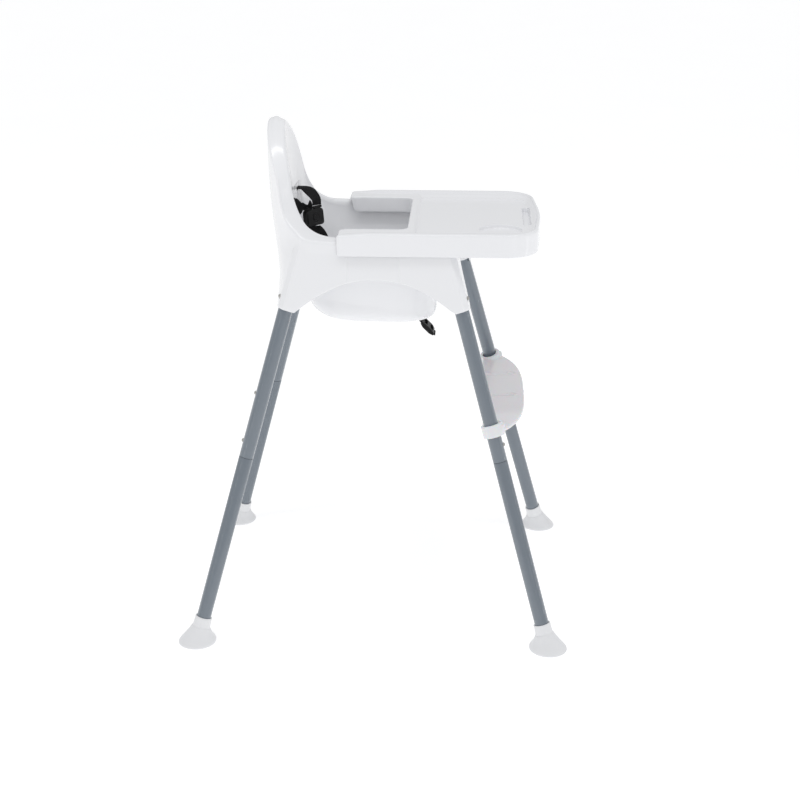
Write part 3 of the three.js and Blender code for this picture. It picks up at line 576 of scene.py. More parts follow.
def tub_wall(top, turn, bearing):
    """Rows of points down the tub's wall, closer together where the back's panel ends."""
    controls = (top, top - vec(0, 0, 14), (top + turn) / 2 + bearing * 3, turn)
    curve = np.array([bezier(s, *controls) for s in np.linspace(0, 1, 200)])
    count = ROWS["wall"]
    edge = min(0.5, max(0.12, (top[2] - BACK_PANEL_TOP_Z) / (top[2] - turn[2])))
    rows = np.interp(np.arange(count), [0, 12, 22, count], [0, edge - 0.02, edge + 0.03, 1])
    points = []
    for z in top[2] + (turn[2] - top[2]) * rows:
        p = vec(*(np.interp(-z, -curve[:, 2], curve[:, k]) for k in range(3)))
        if bearing[1] > 0:
            mask = smooth(BACK_PANEL_HALF - abs(p[0]), 0, 5) * smooth(BACK_PANEL_TOP_Z - z, -1.5, 2)
            p = p + bearing * BACK_PANEL_DEPTH * mask * smooth(z, *BACK_PANEL_FADE_Z)
        points.append(p)
    return points


def shell_column(share):
    """One column of the shell's shown face: up the skirt, over the rim, and down to the seat's middle."""
    rim, lip = RIM(share), LIP(share)
    bearing = unit(rim * (1, 1, 0))
    low = skirt_foot(share)
    rows = ROWS["skirt"]
    points = [skirt_point(share, low + (SKIRT_TOP_Z - low) * i / rows) for i in range(rows)]

    start = skirt_point(share, SKIRT_TOP_Z)
    lean = skirt_point(share, SKIRT_TOP_Z + 1) - start
    bend = start + lean * (lip[2] - start[2]) * 0.45
    bend = bend + (vec(lip[0], lip[1], bend[2]) - bend) * 0.3
    points += [bezier(i / ROWS["flank"], start, bend, lip) for i in range(ROWS["flank"])]
    points += rim_section(lip, rim, smooth(share, 0.86, 0.96))

    top = points.pop()
    fillet_z = SEAT_Z + FILLET_RISE + REAR_MORE * max(0, bearing[1]) - FRONT_LESS * max(0, -bearing[1])
    turn = tub_point(bearing, WALL_FOOT, fillet_z)
    corner = tub_point(bearing, FILLET_CORNER, SEAT_Z + 0.5)
    flat = tub_point(bearing, SEAT_EDGE, SEAT_Z)
    points += tub_wall(top, turn, bearing)
    points += [bezier(i / ROWS["fillet"], turn, corner, flat) for i in range(ROWS["fillet"])]
    middle = vec(0, TUB_MIDDLE_Y, SEAT_Z)
    points += [flat + (middle - flat) * (i / ROWS["seat"]) for i in range(ROWS["seat"])]
    return points


def shell_shares():
    """Where the columns stand, closer together where the side panel's recess starts and ends."""

    def stretch(low, high, count):
        return [low + (high - low) * i / count for i in range(count)]

    edges = [SIDE_START + (SIDE_END - SIDE_START) * part for part in (0, 0.305, 0.36, 0.64, 0.695, 1)]
    side = []
    for i, count in enumerate((14, 18, 14, 18, 14)):
        side += stretch(edges[i], edges[i + 1], count)
    return [
        *stretch(0, FRONT_END, 18), *stretch(FRONT_END, SIDE_START, 16), *side,
        *stretch(SIDE_END, REAR_START, 18), *stretch(REAR_START, 1, 56), 1,
    ]


def shell_sheet():
    """The shown face and, WALL behind it, the hidden face, joined by a rounded lip."""
    half = np.array([shell_column(s) for s in shell_shares()])
    mirrored = half[1:-1][::-1] * (-1, 1, 1)
    grid = np.concatenate([half, mirrored])
    columns = grid.shape[0]
    round_way = np.roll(grid, -1, 0) - np.roll(grid, 1, 0)
    rise = np.gradient(grid, axis=1)
    rise[:, -1] = rise[:, -2]
    normal = np.cross(round_way, rise)
    normal /= np.linalg.norm(normal, axis=2, keepdims=True) + 1e-12
    for _ in range(2):
        normal = (normal * 2 + np.roll(normal, 1, 0) + np.roll(normal, -1, 0)) / 4
        normal /= np.linalg.norm(normal, axis=2, keepdims=True)
    hidden = grid - normal * WALL
    down = grid[:, 0] - grid[:, 1]
    down /= np.linalg.norm(down, axis=1, keepdims=True)
    centre, across = (grid[:, 0] + hidden[:, 0]) / 2, (grid[:, 0] - hidden[:, 0]) / 2
    turns = np.radians([150, 120, 90, 60, 30])
    lip = [centre + across * math.cos(a) + down * WALL / 2 * math.sin(a) for a in turns]
    strip = np.concatenate([hidden[:, ::-1], np.stack(lip, 1), grid], axis=1)
    length = strip.shape[1]
    middles = [(0, TUB_MIDDLE_Y, SEAT_Z - WALL), (0, TUB_MIDDLE_Y, SEAT_Z)]
    points = np.concatenate([strip.reshape(-1, 3), middles])
    faces = []
    for c in range(columns):
        a, b = c * length, (c + 1) % columns * length
        faces += [(a + r, b + r, b + r + 1, a + r + 1) for r in range(length - 1)]
        faces.append((b, a, len(points) - 2))
        faces.append((a + length - 1, b + length - 1, len(points) - 1))
    return points, faces


def cutter_of(points, faces):
    """A mesh that carve takes away or joins on, from points in mm."""
    mesh = mesh_of("cutter", points, faces)
    weld(mesh)
    return bpy.data.objects.new("cutter", mesh)


def prism(outline, start, depth):
    """A cutter: an outline of (x, z) in mm, run from start along +Y."""
    count = len(outline)
    points = [(x, y, z) for y in (start, start + depth) for x, z in outline]
    faces = [tuple(range(count)), tuple(range(2 * count - 1, count - 1, -1))]
    faces += [(i, i + count, (i + 1) % count + count, (i + 1) % count) for i in range(count)]
    return cutter_of(points, faces)


def rectangle(x, z, width, height, radius, steps=8):
    w, h = width / 2, height / 2
    return rounded([(x - w, z - h), (x + w, z - h), (x + w, z + h), (x - w, z + h)], radius, steps)


def carve(piece, others, operation="DIFFERENCE", sharp_angle=38):
    """Takes the other meshes out of the piece's mesh, or joins them to it."""
    for other in others:
        bpy.context.scene.collection.objects.link(other)
        made = piece.modifiers.new("carve", "BOOLEAN")
        made.operation, made.object, made.solver = operation, other, "EXACT"
    graph = bpy.context.evaluated_depsgraph_get()
    graph.update()
    carved = bpy.data.meshes.new_from_object(piece.evaluated_get(graph))
    piece.modifiers.clear()
    old, piece.data = piece.data, carved
    bpy.data.meshes.remove(old)
    for other in others:
        bpy.data.objects.remove(other)
    carved.polygons.foreach_set("use_smooth", [True] * len(carved.polygons))
    carved.set_sharp_from_angle(angle=math.radians(sharp_angle))


def leg_frame(leg):
    """The 4x4 placing of a leg: its Z runs up the tube, and its Y faces the way the buttons do."""
    x, y = LEGS[leg]
    up = unit(vec(-x * LEAN_X, -y * LEAN_Y, 1))
    out = vec(0, y, 0)
    out = unit(out - up * np.dot(out, up))
    placing = np.eye(4)
    placing[:3, :3] = np.stack([np.cross(out, up), out, up], 1)
    placing[:3, 3] = (x * FOOT_X, y * FOOT_Y, 0)
    return placing


def placed(points, placing):
    return np.asarray(points) @ placing[:3, :3].T + placing[:3, 3]


def along(z):
    return z * LEG_STRETCH


HOLE_START, HOLE_SIDES = 4, 32


def round_cutter(leg, radius, height, reach):
    """A cutter for a snap button's hole in a leg or socket, height up the leg."""
    angles = np.arange(HOLE_SIDES) * 2 * math.pi / HOLE_SIDES
    points = [
        (radius * math.cos(a), y, height + radius * math.sin(a)) for y in (HOLE_START, reach) for a in angles
    ]
    faces = ring_faces(2, HOLE_SIDES)
    faces += [tuple(range(HOLE_SIDES)), tuple(range(HOLE_SIDES, 2 * HOLE_SIDES))[::-1]]
    return cutter_of(placed(points, leg_frame(leg)), faces)


SOCKET_HOLE = {"radius": BUTTON_R + 1.2, "height": along(SOCKET_BUTTON_Z) - 0.9, "reach": 40}
SOCKET_LOW_Z, SOCKET_HIGH_Z, SOCKET_OUTER_R = SOCKET_Z + 6, 699, SOCKET_R - 1.6
# The openings in pairs: x and z, (width, height, corner radius), and where the cut starts along Y and its depth.
LEG_OPENING = (62, 651, (80, 74, 20), -130, 70)
BACK_SLOT = (BACK_SLOT_X, BACK_SLOT_Z, (WAIST_WEBBING + 5, 6, 3), 130, 43)
CROTCH_SLOT = (CROTCH_WEBBING + 5, 13, 5)


def shell_cutters():
    """Cutters for the leg openings, the strap slots and the snap buttons' holes."""
    cutters = []
    for x, z, shape, start, depth in (LEG_OPENING, BACK_SLOT):
        cutters += [prism(rectangle(side * x, z, *shape), start, depth) for side in (1, -1)]
    slot = prism(rectangle(0, 0, *CROTCH_SLOT), -20, 40)
    place = Matrix.Translation((0, CROTCH_SLOT_Y * MM, SEAT_Z * MM))
    slot.data.transform(place @ Matrix.Rotation(math.pi / 2, 4, "X"))
    return [*cutters, slot, *(round_cutter(leg, **SOCKET_HOLE) for leg in LEGS)]


def build_shell():
    points, faces = shell_sheet()
    shell = make_piece("seat_moulding", points, faces, SHELL, "chair", ["seat_shell"])
    weld(shell.data)
    carve(shell, shell_cutters())


def build_socket(leg):
    low, high = along(SOCKET_LOW_Z), along(SOCKET_HIGH_Z)
    corners = [(SOCKET_BORE_R, low), (SOCKET_OUTER_R, low), (SOCKET_OUTER_R, high), (SOCKET_BORE_R, high)]
    points, faces = turned(rounded(corners, 0.8))
    socket = make_piece(
        f"leg_socket_{leg}", placed(points, leg_frame(leg)), faces, SHELL, "chair", ["seat_shell"]
    )
    weld(socket.data)
    carve(socket, [round_cutter(leg, **SOCKET_HOLE)])


# ---- mouldings with a level top: the tray and the footrest ----
class Line:
    """A closed plan outline, or part of one, with its inward normals and a finder of the nearest point."""

    def __init__(self, points, normals, step=1.0):
        dense, ways = [], []
        for i in range(len(points) - 1):
            count = max(1, int(np.linalg.norm(points[i + 1] - points[i]) / step))
            for k in range(count):
                t = k / count
                dense.append(points[i] * (1 - t) + points[i + 1] * t)
                ways.append(unit(normals[i] * (1 - t) + normals[i + 1] * t))
        self.points, self.normals = np.array(dense), np.array(ways)
        self.tree = kdtree.KDTree(len(dense))
        for i, (x, y) in enumerate(dense):
            self.tree.insert((x, y, 0), i)
        self.tree.balance()

    def read(self, xy):
        """How far inside the line each point is, and the normal of the line's nearest point."""
        found = np.array([self.tree.find((x, y, 0))[1:] for x, y in xy])
        index = found[:, 0].astype(int)
        inside = ((xy - self.points[index]) * self.normals[index]).sum(1)
        far = np.abs(found[:, 1]) > 4
        return np.where(far, np.sign(inside) * found[:, 1], inside), self.normals[index]


def arc(x, y, radius, start, end, steps, inward=-1):
    """Points of an arc with normals towards its centre (inward -1) or away from it (1)."""
    angles = np.radians(np.linspace(start, end, steps))
    ways = np.stack([np.cos(angles), np.sin(angles)], 1)
    return vec(x, y) + radius * ways, inward * ways


def run(start, end, steps, normal):
    """Points of a straight run, without its two ends."""
    t = np.linspace(0, 1, steps + 2)[1:-1, None]
    return vec(*start) * (1 - t) + vec(*end) * t, np.tile(vec(*normal), (steps, 1))


def smoothed(values, low, high):
    t = np.clip((np.asarray(values, float) - low) / (high - low), 0, 1)
    return t * t * (3 - 2 * t)


def thinned(groups):
    """Keeps each group's points that aren't too close to a kept one. A group is (points, least distance)."""
    cell = 2.0
    around = [(dx, dy) for dx in (-1, 0, 1) for dy in (-1, 0, 1)]
    kept, cells = [], {}
    for points, least in groups:
        for p in points:
            key = (int(p[0] // cell), int(p[1] // cell))
            near = (q for dx, dy in around for q in cells.get((key[0] + dx, key[1] + dy), ()))
            if all((p[0] - q[0]) ** 2 + (p[1] - q[1]) ** 2 > least**2 for q in near):
                cells.setdefault(key, []).append(p)
                kept.append(p)
    return np.array(kept)


def filled(boundary, inner):
    """Triangles over a closed boundary and the points inside it."""
    points = [Vector(p) for p in np.concatenate([boundary, inner])]
    made = geometry.delaunay_2d_cdt(points, [], [tuple(range(len(boundary)))], 1, 1e-7)
    return np.array([tuple(p) for p in made[0]]), [tuple(f) for f in made[2]]


def grid_points(line, step, clear):
    low, high = line.points.min(0), line.points.max(0)
    xs = np.arange(low[0] + step * 0.4, high[0], step)
    ys = np.arange(low[1] + step * 0.4, high[1], step)
    grid = np.stack(np.meshgrid(xs, ys), -1).reshape(-1, 2)
    grid[:, 0] += np.where(np.round((grid[:, 1] - low[1]) / step).astype(int) % 2, step / 2, 0)
    inside, _ = line.read(grid)
    return grid[inside > clear]


EDGE_TURNS = np.radians([0, 15, 30, 45, 60, 75, 90])


def closed_line(points, normals):
    return Line(np.concatenate([points, points[:1]]), np.concatenate([normals, normals[:1]]))


def moulding(points, normals, edge_r, low, height, features, step=3.0):
    """A thin moulded cover. points and normals are its closed plan outline; edge_r and low give the top
    edge's radius and the wall's lower end at each. height(xy, grow) is the top's height, its hollows
    widened by grow. features are extra points that the top's mesh passes through."""
    line = closed_line(points, normals)
    count = len(points)
    rings = []
    for angle in EDGE_TURNS:
        at = points + normals * (edge_r * (1 - math.cos(angle)))[:, None]
        z = height(at, 0) - edge_r * (1 - math.sin(angle))
        rings.append(np.column_stack([at, z]))
    top_ring = rings[-1]
    groups = [(top_ring[:, :2], 0)]
    groups += [(f[line.read(f)[0] > edge_r.min() + 0.8], 0.45) for f in features]
    groups.append((grid_points(line, step, 1), step * 0.55))
    inner = thinned(groups)[count:]
    depth, _ = line.read(inner)
    nearest = np.array([line.tree.find((x, y, 0))[1] for x, y in inner])
    ring_at = np.array([line.tree.find((x, y, 0))[1] for x, y in points])
    order = np.argsort(ring_at)
    radius_there = np.interp(nearest, ring_at[order], edge_r[order])
    inner = inner[depth > radius_there + 0.6]
    flat, flat_faces = filled(top_ring[:, :2], inner)
    top = np.column_stack([flat, height(flat, 0)])
    top[:count, 2] = top_ring[:, 2]

    # down the outside, round the lower lip and up the inside
    half = WALL / 2
    side = rings[0][:, 2]
    outside = [np.column_stack([points, side + (low + half - side) * t]) for t in (1 / 3, 2 / 3)]
    lip = []
    for angle in np.radians([0, 30, 60, 90, 120, 150, 180]):
        at = points + normals * (half * (1 - math.cos(angle)))
        lip.append(np.column_stack([at, low + half - half * math.sin(angle)]))
    under_at = points + normals * WALL
    rise = np.maximum(edge_r - WALL, 0)
    under_z = height(under_at, WALL) - edge_r + np.sqrt(edge_r**2 - rise**2) - WALL - 0.2
    under_ring = np.column_stack([under_at, np.maximum(under_z, low + half + 0.5)])
    strips = [*rings[::-1], *outside, *lip, under_ring]

    coarse = thinned([(under_at, 0), (grid_points(line, step * 1.6, WALL + 1.5), step)])[count:]
    under, under_faces = filled(under_at, coarse)
    under = np.column_stack([under, height(under, WALL) - WALL])
    under[:count, 2] = under_ring[:, 2]

    all_points = np.concatenate([*strips, top, under])
    faces = ring_faces(len(strips), count)
    start = len(strips) * count
    faces += [tuple(i + start for i in f) for f in flat_faces]
    start += len(top)
    faces += [tuple(i + start for i in f[::-1]) for f in under_faces]
    return all_points, faces


def block(x, y, z, width, depth, height):
    """A plain rib, as points and faces, from its middle and size."""
    ends = [(i, j, k) for k in (-0.5, 0.5) for j in (-0.5, 0.5) for i in (-0.5, 0.5)]
    points = np.array([(x + i * width, y + j * depth, z + k * height) for i, j, k in ends])
    return points, [(0, 2, 3, 1), (4, 5, 7, 6), (0, 1, 5, 4), (2, 6, 7, 3), (0, 4, 6, 2), (1, 3, 7, 5)]


def joined(*parts):
    points, faces, start = [], [], 0
    for some, their_faces in parts:
        points.append(np.asarray(some, float))
        faces += [tuple(i + start for i in f) for f in their_faces]
        start += len(some)
    return np.concatenate(points), faces


# ---- tray ----
TRAY = {
    "half": 182.5, "front": -290, "arm": 63, "inner": 129, "cutout": -56, "low": 694, "inner_low": 702,
    "top": 734, "border": 730.5, "inside": 726, "floor": 724, "corner": 58,
}
BOW, BOW_HALF, BOW_START = 8, 165, -180  # how far the front bows out, half its width and where it starts
TRAY_FRONT = TRAY["front"] + BOW  # the front before it is bowed
SADDLE_LOW = 722  # the wall's lower end where the arm rests on the seat's rim
BAND = (12.5, 19.5)  # where the raised edge ends, from the outside
SLOPE_END = 36.5  # where the border's slope ends
REAR_RIDGE_Y = (-73, -66)
FRONT_SQUEEZE = 0.4  # how much narrower the border is at the front
CUP, CUP_R, CUP_DEPTH = (-98, -218), 38, 5
CARD_SLOT = {"x": 6, "y": -266, "width": 138, "height": 14, "depth": 8, "corner": 3}
FLOOR_SIDE, CUP_SIDE, SLOT_SIDE = (-0.5, 3.8), (-0.3, 2.6), (-0.2, 1.2)  # across each hollow's edge
RIB_X, RIB_YS, RIB_Z, RIB = 155, (-30, 10, 40), 724.6, (46, 2.6, 8)


def bowed(points, front=TRAY_FRONT):
    """The plan's front, bowed out by up to BOW in its middle."""
    across = np.minimum(1, np.abs(points[:, 0]) / BOW_HALF)
    ahead = smoothed(-points[:, 1], -BOW_START, -front)
    return points - np.stack([0 * across, BOW * np.cos(across * math.pi / 2) ** 2 * ahead], 1)


def stacked(parts):
    """The points and normals of plan pieces in a row."""
    return np.concatenate([p for p, _ in parts]), np.concatenate([n for _, n in parts])


def softened(values, times):
    """The values along an outline, with their steps evened out."""
    for _ in range(times):
        values = np.convolve(np.pad(values, 1, "edge"), [0.25, 0.5, 0.25], "valid")
    return values


def ring_of(points, normals):
    """Half an outline, and its mirror image after it."""
    flip = (-1, 1)
    return np.concatenate([points, points[::-1] * flip]), np.concatenate([normals, normals[::-1] * flip])


def tray_outline():
    """The tray's plan, its edge radius and its wall's lower end, going round from the front's middle."""
    front, low, inner_low, r_front = TRAY_FRONT, TRAY["low"], TRAY["inner_low"], TRAY["corner"]
    r_end, r_arm, r_cut = 6, 14, 18
    half, arm, inner, cutout = TRAY["half"], TRAY["arm"], TRAY["inner"], TRAY["cutout"]
    parts = [
        (run((0, front), (half - r_front, front), 24, (0, 1)), 5, low),
        (arc(half - r_front, front + r_front, r_front, -90, 0, 30), 5, low),
        (run((half, front + r_front), (half, arm - r_end), 60, (-1, 0)), 5, low),
        (arc(half - r_end, arm - r_end, r_end, 0, 90, 14), 5, low),
        (run((half - r_end, arm), (inner + r_arm, arm), 12, (0, -1)), 5, low),
        (arc(inner + r_arm, arm - r_arm, r_arm, 90, 180, 14), 5, inner_low),
        (run((inner, arm - r_arm), (inner, cutout + r_cut), 22, (1, 0)), 3, inner_low),
        (arc(inner - r_cut, cutout + r_cut, r_cut, 0, -90, 14, 1), 3, inner_low),
        (run((inner - r_cut, cutout), (0, cutout), 26, (0, -1)), 3, inner_low),
    ]
    points, normals = stacked([part for part, _, _ in parts])
    edge_r = np.concatenate([np.full(len(part[0]), r, float) for part, r, _ in parts])
    low = np.concatenate([np.full(len(part[0]), z, float) for part, _, z in parts])
    edge_r = softened(edge_r, 6)
    saddle = smoothed(points[:, 1], arm - 16, arm - 3) * smoothed(points[:, 0], 129, 134)
    saddle = saddle * smoothed(-points[:, 0], -178.5, -175.5)
    low = softened(low + (SADDLE_LOW - low) * saddle, 2)
    points, normals = ring_of(points, normals)
    return bowed(points), normals, np.concatenate([edge_r, edge_r[::-1]]), np.concatenate([low, low[::-1]])


def tray_floor_line():
    half, front, rear, r_front, r_rear = 143.5, TRAY_FRONT + 14, -70, 38, 12
    points, normals = ring_of(*stacked([
        run((0, front), (half - r_front, front), 30, (0, 1)),
        arc(half - r_front, front + r_front, r_front, -90, 0, 30),
        run((half, front + r_front), (half, rear - r_rear), 60, (-1, 0)),
        arc(half - r_rear, rear - r_rear, r_rear, 0, 90, 14),
        run((half - r_rear, rear), (0, rear), 50, (0, -1)),
    ]))
    return closed_line(bowed(points, front), normals)


def tray_outer_line():
    """The tray's outer side, run on behind the arms, which the raised edge follows."""
    half, front, radius = TRAY["half"], TRAY_FRONT, TRAY["corner"]
    points, normals = stacked([
        run((0, front), (half - radius, front), 24, (0, 1)),
        arc(half - radius, front + radius, radius, -90, 0, 30),
        run((half, front + radius), (half, TRAY["arm"] + 60), 60, (-1, 0)),
    ])
    points = np.concatenate([points[::-1] * (-1, 1), points])
    normals = np.concatenate([normals[::-1] * (-1, 1), normals])
    return Line(bowed(points), normals)


def slot_inside(xy):
    """How far inside the card slot's outline each point is."""
    x, y = np.abs(xy[:, 0] - CARD_SLOT["x"]), np.abs(xy[:, 1] - CARD_SLOT["y"])
    corner = CARD_SLOT["corner"]
    dx, dy = x - CARD_SLOT["width"] / 2 + corner, y - CARD_SLOT["height"] / 2 + corner
    return corner - np.hypot(np.maximum(dx, 0), np.maximum(dy, 0)) - np.minimum(np.maximum(dx, dy), 0)


FLOOR_LINE, OUTER_LINE = tray_floor_line(), tray_outer_line()


def squeezed(normals_y):
    """How much narrower the border is where its normal points to the rear by normals_y."""
    return 1 + (FRONT_SQUEEZE - 1) * np.clip(normals_y, 0, 1) ** 2


def tray_height(xy, grow):
    t = TRAY
    from_outside, way = OUTER_LINE.read(xy)
    reach = (from_outside - grow * 0.5) / squeezed(way[:, 1])
    slope = np.maximum(1 - smoothed(reach, BAND[1], SLOPE_END), smoothed(xy[:, 1], *REAR_RIDGE_Y))
    band = (1 - smoothed(reach, *BAND)) * (1 - smoothed(xy[:, 1], t["arm"] - 60, t["arm"] - 2))
    z = t["inside"] + (t["border"] - t["inside"]) * slope + (t["top"] - t["border"]) * band
    z = z + (t["floor"] - z) * smoothed(FLOOR_LINE.read(xy)[0] + grow, *FLOOR_SIDE)
    in_cup = CUP_R + grow - np.hypot(xy[:, 0] - CUP[0], xy[:, 1] - CUP[1])
    z = z - CUP_DEPTH * smoothed(in_cup, *CUP_SIDE)
    return z - CARD_SLOT["depth"] * smoothed(slot_inside(xy) + grow, *SLOT_SIDE)


def offset_points(line, distances, squeeze=False):
    scale = squeezed(line.normals[:, 1:2]) if squeeze else 1
    return [(line.points + line.normals * d * scale)[::2] for d in distances]


def tray_features():
    """Points along the edges of the tray's cup, slot, floor and raised edge."""
    features = [arc(*CUP, CUP_R + d, 0, 358, 150)[0] for d in (0.3, -0.4, -1.2, -2, -2.7)]
    slot = CARD_SLOT
    for d in (0.25, -0.15, -0.55, -0.95, -1.3):
        width, height = slot["width"] + 2 * d, slot["height"] + 2 * d
        shape = rectangle(slot["x"], slot["y"], width, height, slot["corner"] + d, 5)
        edge = np.array(shape + shape[:1])
        dense = [edge[i] + (edge[i + 1] - edge[i]) * k / 60 for i in range(len(edge) - 1) for k in range(60)]
        features.append(np.array(dense))
    features += offset_points(FLOOR_LINE, (-0.6, 0.3, 1.2, 2.1, 3, 3.9))
    features += offset_points(OUTER_LINE, (7.5, 10, 12.5, 14, 15.5, 17, 18.5, 20, 23), True)
    return features


def build_tray():
    points, normals, edge_r, low = tray_outline()
    cover = moulding(points, normals, edge_r, low, tray_height, tray_features())
    ribs = [block(side * RIB_X, y, RIB_Z, *RIB) for side in (1, -1) for y in RIB_YS]
    points, faces = joined(cover, *ribs)
    tray = make_piece("tray_moulding", points, faces, TRAY_LOOK, "tray", ["tray"])
    settle(tray, 42)


# ---- legs ----
FOOT_PLUG_Z = 12  # the tube's lower end
SEAM_GAP = 0.5


def tube_sections():
    """The upper tube's (radius, height) corners, and the lower one's, with its reduced end."""
    inner, spigot_inner = TUBE_R - TUBE_WALL, SPIGOT_R - TUBE_WALL
    bottom, seam, end = along(FOOT_PLUG_Z), along(SEAM_Z), along(TUBE_TOP_Z)
    top = seam + SPIGOT_LENGTH
    upper = [(inner, seam + SEAM_GAP), (TUBE_R, seam + SEAM_GAP), (TUBE_R, end), (inner, end)]
    lower = [
        (inner, bottom), (TUBE_R, bottom), (TUBE_R, seam - 0.9), (TUBE_R - 0.3, seam - 0.35),
        (SPIGOT_R, seam - 0.1), (SPIGOT_R, top), (spigot_inner, top), (spigot_inner, seam), (inner, seam - 6),
    ]
    return {"upper": rounded(upper, 0.45), "lower": lower}


def build_legs():
    for leg, (_, side) in LEGS.items():
        heights = [LOW_BUTTON_Z] + ([HIGH_BUTTON_Z] if side > 0 else [])
        holes = [{"radius": BUTTON_R + 0.8, "height": along(z) + 0.5, "reach": 20} for z in heights]
        more = {"upper": [{**SOCKET_HOLE, "reach": 20}], "lower": []}
        for half, section in tube_sections().items():
            points, faces = turned(section)
            points = placed(points, leg_frame(leg))
            tube = make_piece(f"{half}_tube_{leg}", points, faces, PAINT, "chair", [f"{half}_leg_{leg}"])
            weld(tube.data)
            carve(tube, [round_cutter(leg, **hole) for hole in holes + more[half]])


# A foot's (radius, height, tilt) corners: a flat ring on the floor, a flare, a crease, and a collar round the
# tube. The tilt goes from level, 0, to square to the leg, 1.
FOOT_PROFILE = [
    (1, 3.5, 0), (21, 3.5, 0), (24.5, 2.6, 0), (26, 0.6, 0), (27, 0, 0), (31.6, 0, 0), (33, 0.5, 0),
    (33.8, 1.5, 0), (34, 3, 0), (33.5, 4.6, 0), (31.6, 7.4, 0.05), (29, 10.6, 0.15), (26.2, 14, 0.3),
    (23.4, 17.8, 0.45), (20.9, 21.6, 0.62), (18.9, 25, 0.78), (17.7, 27.4, 0.9), (17.1, 28.5, 0.95),
    (16.2, 29, 1), (15.9, 29.4, 1), (15.8, 30.4, 1), (15.5, 38, 1), (15.2, 45.6, 1), (14.9, 46.7, 1),
    (14.2, 47, 1), (13.3, 46.9, 1), (12.9, 46.2, 1), (12.9, 12.5, 1), (1, 12.4, 1),
]
FOOT_SIDES = 80


def build_foot(leg):
    x, y = LEGS[leg]
    level = Vector((0, 0, 1))
    up = Vector((-x * LEAN_X, -y * LEAN_Y, 1)).normalized()
    points = []
    for radius, z, tilt in FOOT_PROFILE:
        turn = level.rotation_difference(level.lerp(up, tilt).normalized()).to_matrix()
        ax, ay = leg_axis(z)
        for i in range(FOOT_SIDES):
            angle = 2 * math.pi * i / FOOT_SIDES
            p = turn @ Vector((math.cos(angle) * radius, math.sin(angle) * radius, 0))
            points.append((x * ax + p.x, y * ay + p.y, z + p.z))
    faces = capped_faces(len(FOOT_PROFILE), FOOT_SIDES)
    made = make_piece(f"foot_cap_{leg}", points, faces, TRIM, "chair", [f"foot_{leg}"])
    settle(made, 40)


# ---- snap clips ----
LEAF_WIDTH, LEAF_THICK, LEAF_EDGE = 7.0, 0.8, 0.3
CLIP_ARM, CLIP_HEEL = 45, 5  # a leaf's length, and how far from the bend it starts
CLIP_SPREAD = 7.6 / CLIP_ARM
BUTTON_START, BUTTON_SIDES, DOME = 7.2, 40, 2.2
CLIP_BEND = [(0.62, 3.4), (0.66, 1.6), (0.5, 0.3), (0.1, -0.35), (-0.4, -0.1), (-0.62, 0.9)]


def leaf(path):
    """A spring leaf along a path of (out, up), LEAF_WIDTH wide, as points and faces."""
    path = np.array(path, float)
    ways = np.gradient(path, axis=0)
    ways /= np.linalg.norm(ways, axis=1, keepdims=True)
    across = np.stack([-ways[:, 1], ways[:, 0]], 1)
    half, edge, t = LEAF_WIDTH / 2, LEAF_EDGE, LEAF_THICK / 2
    section = [(-half, -t + edge), (-half, t - edge), (-half + edge, t), (half - edge, t)]
    section += [(half, t - edge), (half, -t + edge), (half - edge, -t), (-half + edge, -t)]
    points = [(x, p[0] + a[0] * d, p[1] + a[1] * d) for p, a in zip(path, across) for x, d in section]
    return np.array(points), capped_faces(len(path), len(section))


def snap_button(tip, height):
    """A domed button that points along +Y to tip, height up the leg, as points and faces."""
    r = BUTTON_R
    dome = [(0.02, BUTTON_START), (r - 0.4, BUTTON_START), (r, BUTTON_START + 0.5), (r, tip - DOME)]
    turns = np.radians([12, 25, 38, 50, 62, 74, 83])
    dome += [(r * math.cos(a), tip - DOME + DOME * math.sin(a)) for a in turns]
    dome.append((0.02, tip))
    angles = np.arange(BUTTON_SIDES) * 2 * math.pi / BUTTON_SIDES
    points = [(q * math.cos(a), y, height + q * math.sin(a)) for q, y in dome for a in angles]
    return points, capped_faces(len(dome), BUTTON_SIDES)


def build_clip(leg, kind, z):
    """A V-shaped spring clip in a leg: the leaf that carries the button, and the fixed leaf with the bend."""
    bend, tip = (1, 18.2) if kind == "socket" else (-1, TUBE_R + 3)
    name = f"{kind}_{leg}"

    def at(d, side):
        return side * CLIP_SPREAD * d, along(z) + bend * (CLIP_ARM - d)

    def piece(suffix, shape, body, node):
        points, faces = shape
        made = make_piece(name + suffix, placed(points, leg_frame(leg)), faces, STEEL, body, [node])
        settle(made, 50, FINE_WELD)

    moving = leaf([at(CLIP_HEEL + CLIP_ARM * i / 12, 1) for i in range(13)])
    button = joined(moving, snap_button(tip, along(z)))
    piece("_snap_button", button, f"{name}_button", f"{name}_button")
    path = [(y, along(z) + bend * (CLIP_ARM - d)) for y, d in CLIP_BEND]
    path += [at(d, -1) for d in np.linspace(CLIP_HEEL, CLIP_HEEL + CLIP_ARM, 12)]
    piece("_clip_spring", leaf(path), "chair", f"{name}_spring")


# ---- footrest ----
REST_TOP_Z, REST_LOW_Z, REST_EDGE_R = 396, 390, 3.2
REST_REAR_Y, REST_FRONT_Y, REST_SIDE = -192, -270, 38
COLLAR_LOW_Z, COLLAR_HIGH_Z, COLLAR_WALL, COLLAR_SIDES = 381, 402, 5, 64
REST_TRAVEL = 30
REST_RIBS, RIB_HEIGHT = (-35, 88), 1.3
RIB_REAR_Y, RIB_FRONT_Y, HOOK_Y, HOOK_R = -200, -245, -247, 7


